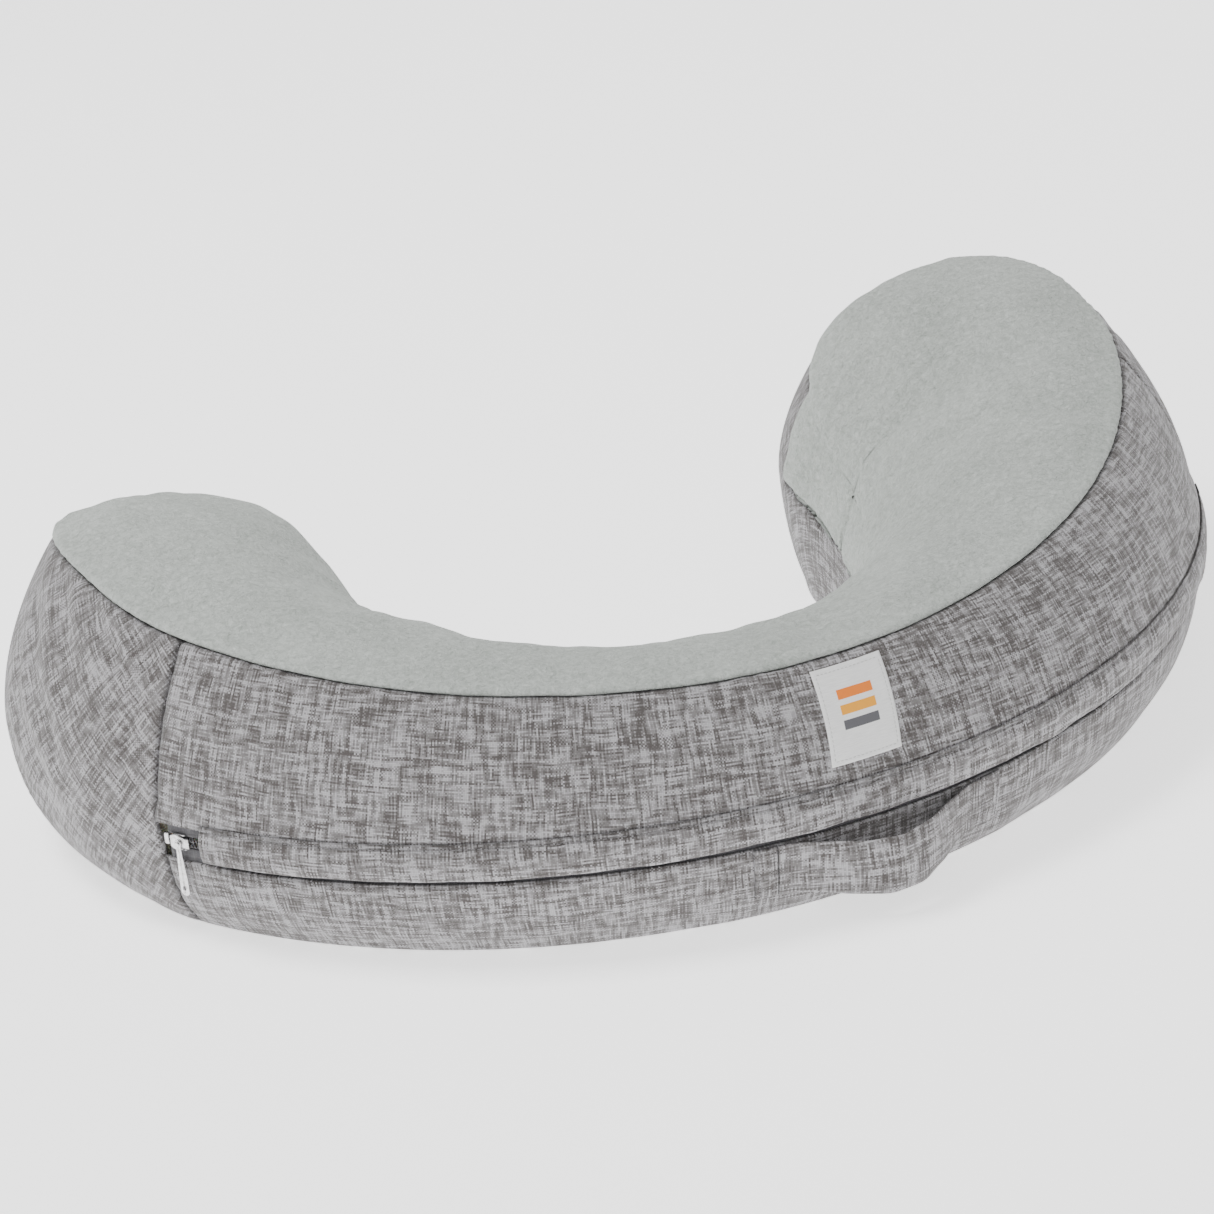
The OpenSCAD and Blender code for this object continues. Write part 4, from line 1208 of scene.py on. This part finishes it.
def handle_tab(name, first):
    """Sewn end of the handle: the folded strap, pressed flat on the band."""
    deg = np.linspace(first, first + TAB_DEG, 16)[:, None]
    z = np.linspace(STRAP_TOP - STRAP_W, STRAP_TOP, 30)[None, :]
    across = np.abs(2 * (deg - first) / TAB_DEG - 1)
    along = np.abs(2 * (z - z.min()) / STRAP_W - 1)
    edge = np.sqrt(np.clip(1 - across ** 12, 0.04, 1) * np.clip(1 - along ** 22, 0.04, 1))
    dent = 0.0004 * fade((across - 0.66) * 0.0059, 0.0006) + 0.0004 * fade((along - 0.84) * 0.0145, 0.0006)
    puff = 0.0003 * np.sin(z * 2 * math.pi / 0.008) * (1 - across)
    inner = ring_point(band_r(z) + TAB_LIFT, deg, z)
    outer = ring_point(band_r(z) + TAB_LIFT + STRAP_T * (0.35 + 0.65 * edge) - dent + puff, deg, z)
    points, faces = slab(outer, inner)
    uv = np.stack([BELT_R * np.radians(deg) + 0 * z, z + 0 * deg], -1).reshape(-1, 2)
    # Painted shade round the tab's edges, where the pressed strap meets the band.
    near = np.clip(np.maximum(0.8 * (across > 0.9), 0.8 * (along > 0.97)), 0, 1).reshape(-1)
    make(name + "_cloth", points, faces, WEAVE, node=name, slot="weave", uv=np.concatenate([uv, uv]),
         seam=np.concatenate([near, near]))
    rows = []
    margin_deg, margin = 0.34, 0.0023
    corners = [(first + margin_deg, STRAP_TOP - margin), (first + TAB_DEG - margin_deg, STRAP_TOP - margin),
               (first + TAB_DEG - margin_deg, STRAP_TOP - STRAP_W + margin),
               (first + margin_deg, STRAP_TOP - STRAP_W + margin)]
    for k, (d0, z0) in enumerate(corners):
        d1, z1 = corners[(k + 1) % 4]
        t = np.linspace(0, 1, 24)
        d, h = mix(d0, d1, t), mix(z0, z1, t)
        path = ring_point(band_r(h) + TAB_LIFT + STRAP_T - 0.0002, d, h)
        rows.append(stitch_row(path, ring_point(1.0, d, 0.0) - ring_point(0.0, d, 0.0), 0.0026))
    return joined(rows)


TAB_ROWS = [handle_tab("handle_tab_left", HANDLE_FROM), handle_tab("handle_tab_right", HANDLE_TO - TAB_DEG)]
make("handle_stitches_thread", *joined(TAB_ROWS), THREAD, node="handle_stitches", slot="thread")

# --- Label -----------------------------------------------------------------------------------------

LABEL_DEG, LABEL_W, LABEL_LOW, LABEL_HIGH, LABEL_SKEW = -1.2, 0.038, 0.2, 0.92, 0.6
LABEL_LIFT = 0.00015


def label_grid(u, v, lift):
    """Points of the label at shares u across and v up, lifted off the finished cover."""
    w = mix(LABEL_LOW, LABEL_HIGH, v)
    r = FRONT_R + BELT_OUT * (1 - w ** WALL_POWER)
    deg = LABEL_DEG + LABEL_SKEW * (2 * v - 1) + np.degrees((u - 0.5) * LABEL_W / r)
    return on_cover(deg / SEAM_DEG, BELT + w, lift)


def side_label():
    """Satin label, folded under at its edges and sewn all round."""
    u, v = np.linspace(0, 1, 40)[:, None], np.linspace(0, 1, 52)[None, :]
    rim = np.minimum(np.minimum(u, 1 - u) * LABEL_W, np.minimum(v, 1 - v) * 0.039)
    puff = 0.00035 * smooth(rim / 0.0012) + 0.00022 * np.sin(u * 9 + v * 5) * smooth(rim / 0.008)
    dent = 0.0002 * fade(rim - 0.002, 0.0006)
    outer = label_grid(u, v, LABEL_LIFT + 0.0003 + (puff - dent)[..., None])
    inner = label_grid(u, v, LABEL_LIFT)
    points, faces = slab(outer, inner)
    uv = np.stack([(u - 0.5) * LABEL_W + 0 * v, (v - 0.5) * 0.039 + 0 * u], -1).reshape(-1, 2)
    make("side_label_satin", points, faces, LABEL, node="side_label", slot="label_satin",
         uv=np.concatenate([uv, uv]))
    rows = []
    t = np.linspace(0, 1, 40)
    m, n = 0.052, 0.051
    for u_line, v_line in ((m + 0 * t, mix(n, 1 - n, t)), (1 - m + 0 * t, mix(n, 1 - n, t)),
                           (mix(m, 1 - m, t), n + 0 * t), (mix(m, 1 - m, t), 1 - n + 0 * t)):
        path = label_grid(u_line, v_line, LABEL_LIFT + 0.0006)
        normal = label_grid(u_line, v_line, 1.0) - label_grid(u_line, v_line, 0.0)
        rows.append(stitch_row(path, normal, 0.0022, radius=0.0002))
    make("label_stitches_thread", *joined(rows), LABEL_THREAD, node="label_stitches", slot="thread")


side_label()

# --- Floor, light and camera -----------------------------------------------------------------------


def studio():
    """Pale floor, soft lights and a bright even surround."""
    size = 6.0
    floor = make("studio_floor", [(-size, -size, 0), (size, -size, 0), (size, size, 0), (-size, size, 0)],
                 [(0, 1, 2, 3)], floor_material(), body=None)
    world = bpy.data.worlds.new("studio")
    world.use_nodes = True
    world.node_tree.nodes["Background"].inputs["Color"].default_value = (1.0, 1.0, 1.0, 1)
    world.node_tree.nodes["Background"].inputs["Strength"].default_value = 0.6
    bpy.context.scene.world = world
    for name, place, power, width in (("key", (-0.9, 0.5, 2.3), 52, 0.9), ("rim", (1.6, 1.4, 1.6), 10, 1.5),
                                      ("fill", (-0.6, -2.2, 1.1), 9, 1.6)):
        light = bpy.data.lights.new(name, "AREA")
        light.energy, light.size = power, width
        obj = bpy.data.objects.new(name, light)
        aim = (-Vector(place)).to_track_quat("-Z", "Y").to_matrix().to_4x4()
        obj.matrix_world = Matrix.Translation(place) @ aim
        bpy.context.scene.collection.objects.link(obj)


CAMERA_TARGET = Vector((-0.0376, 0.0188, 0.0878))
CAMERA_AZIMUTH, CAMERA_ELEVATION, CAMERA_ROLL = -25.06, 24.16, -6.64
CAMERA_DISTANCE, CAMERA_LENS, CAMERA_SENSOR = 2.1266, 124.68, 36.0


def camera():
    """Camera at the product shot's angle: seen from the front left, from above, with a slight roll."""
    az, el, roll = (math.radians(v) for v in (CAMERA_AZIMUTH, CAMERA_ELEVATION, CAMERA_ROLL))
    back = Vector((math.sin(az) * math.cos(el), -math.cos(az) * math.cos(el), math.sin(el)))
    right = (-back).cross(Vector((0, 0, 1))).normalized()
    up = right.cross(-back)
    x = math.cos(roll) * right + math.sin(roll) * up
    y = -math.sin(roll) * right + math.cos(roll) * up
    lens = bpy.data.cameras.new("camera")
    lens.lens, lens.sensor_width = CAMERA_LENS, CAMERA_SENSOR
    lens.clip_end = 50
    obj = bpy.data.objects.new("camera", lens)
    place = Matrix((x, y, back)).transposed().to_4x4()
    obj.matrix_world = Matrix.Translation(CAMERA_TARGET + CAMERA_DISTANCE * back) @ place
    bpy.context.scene.collection.objects.link(obj)
    bpy.context.scene.camera = obj


studio()
camera()
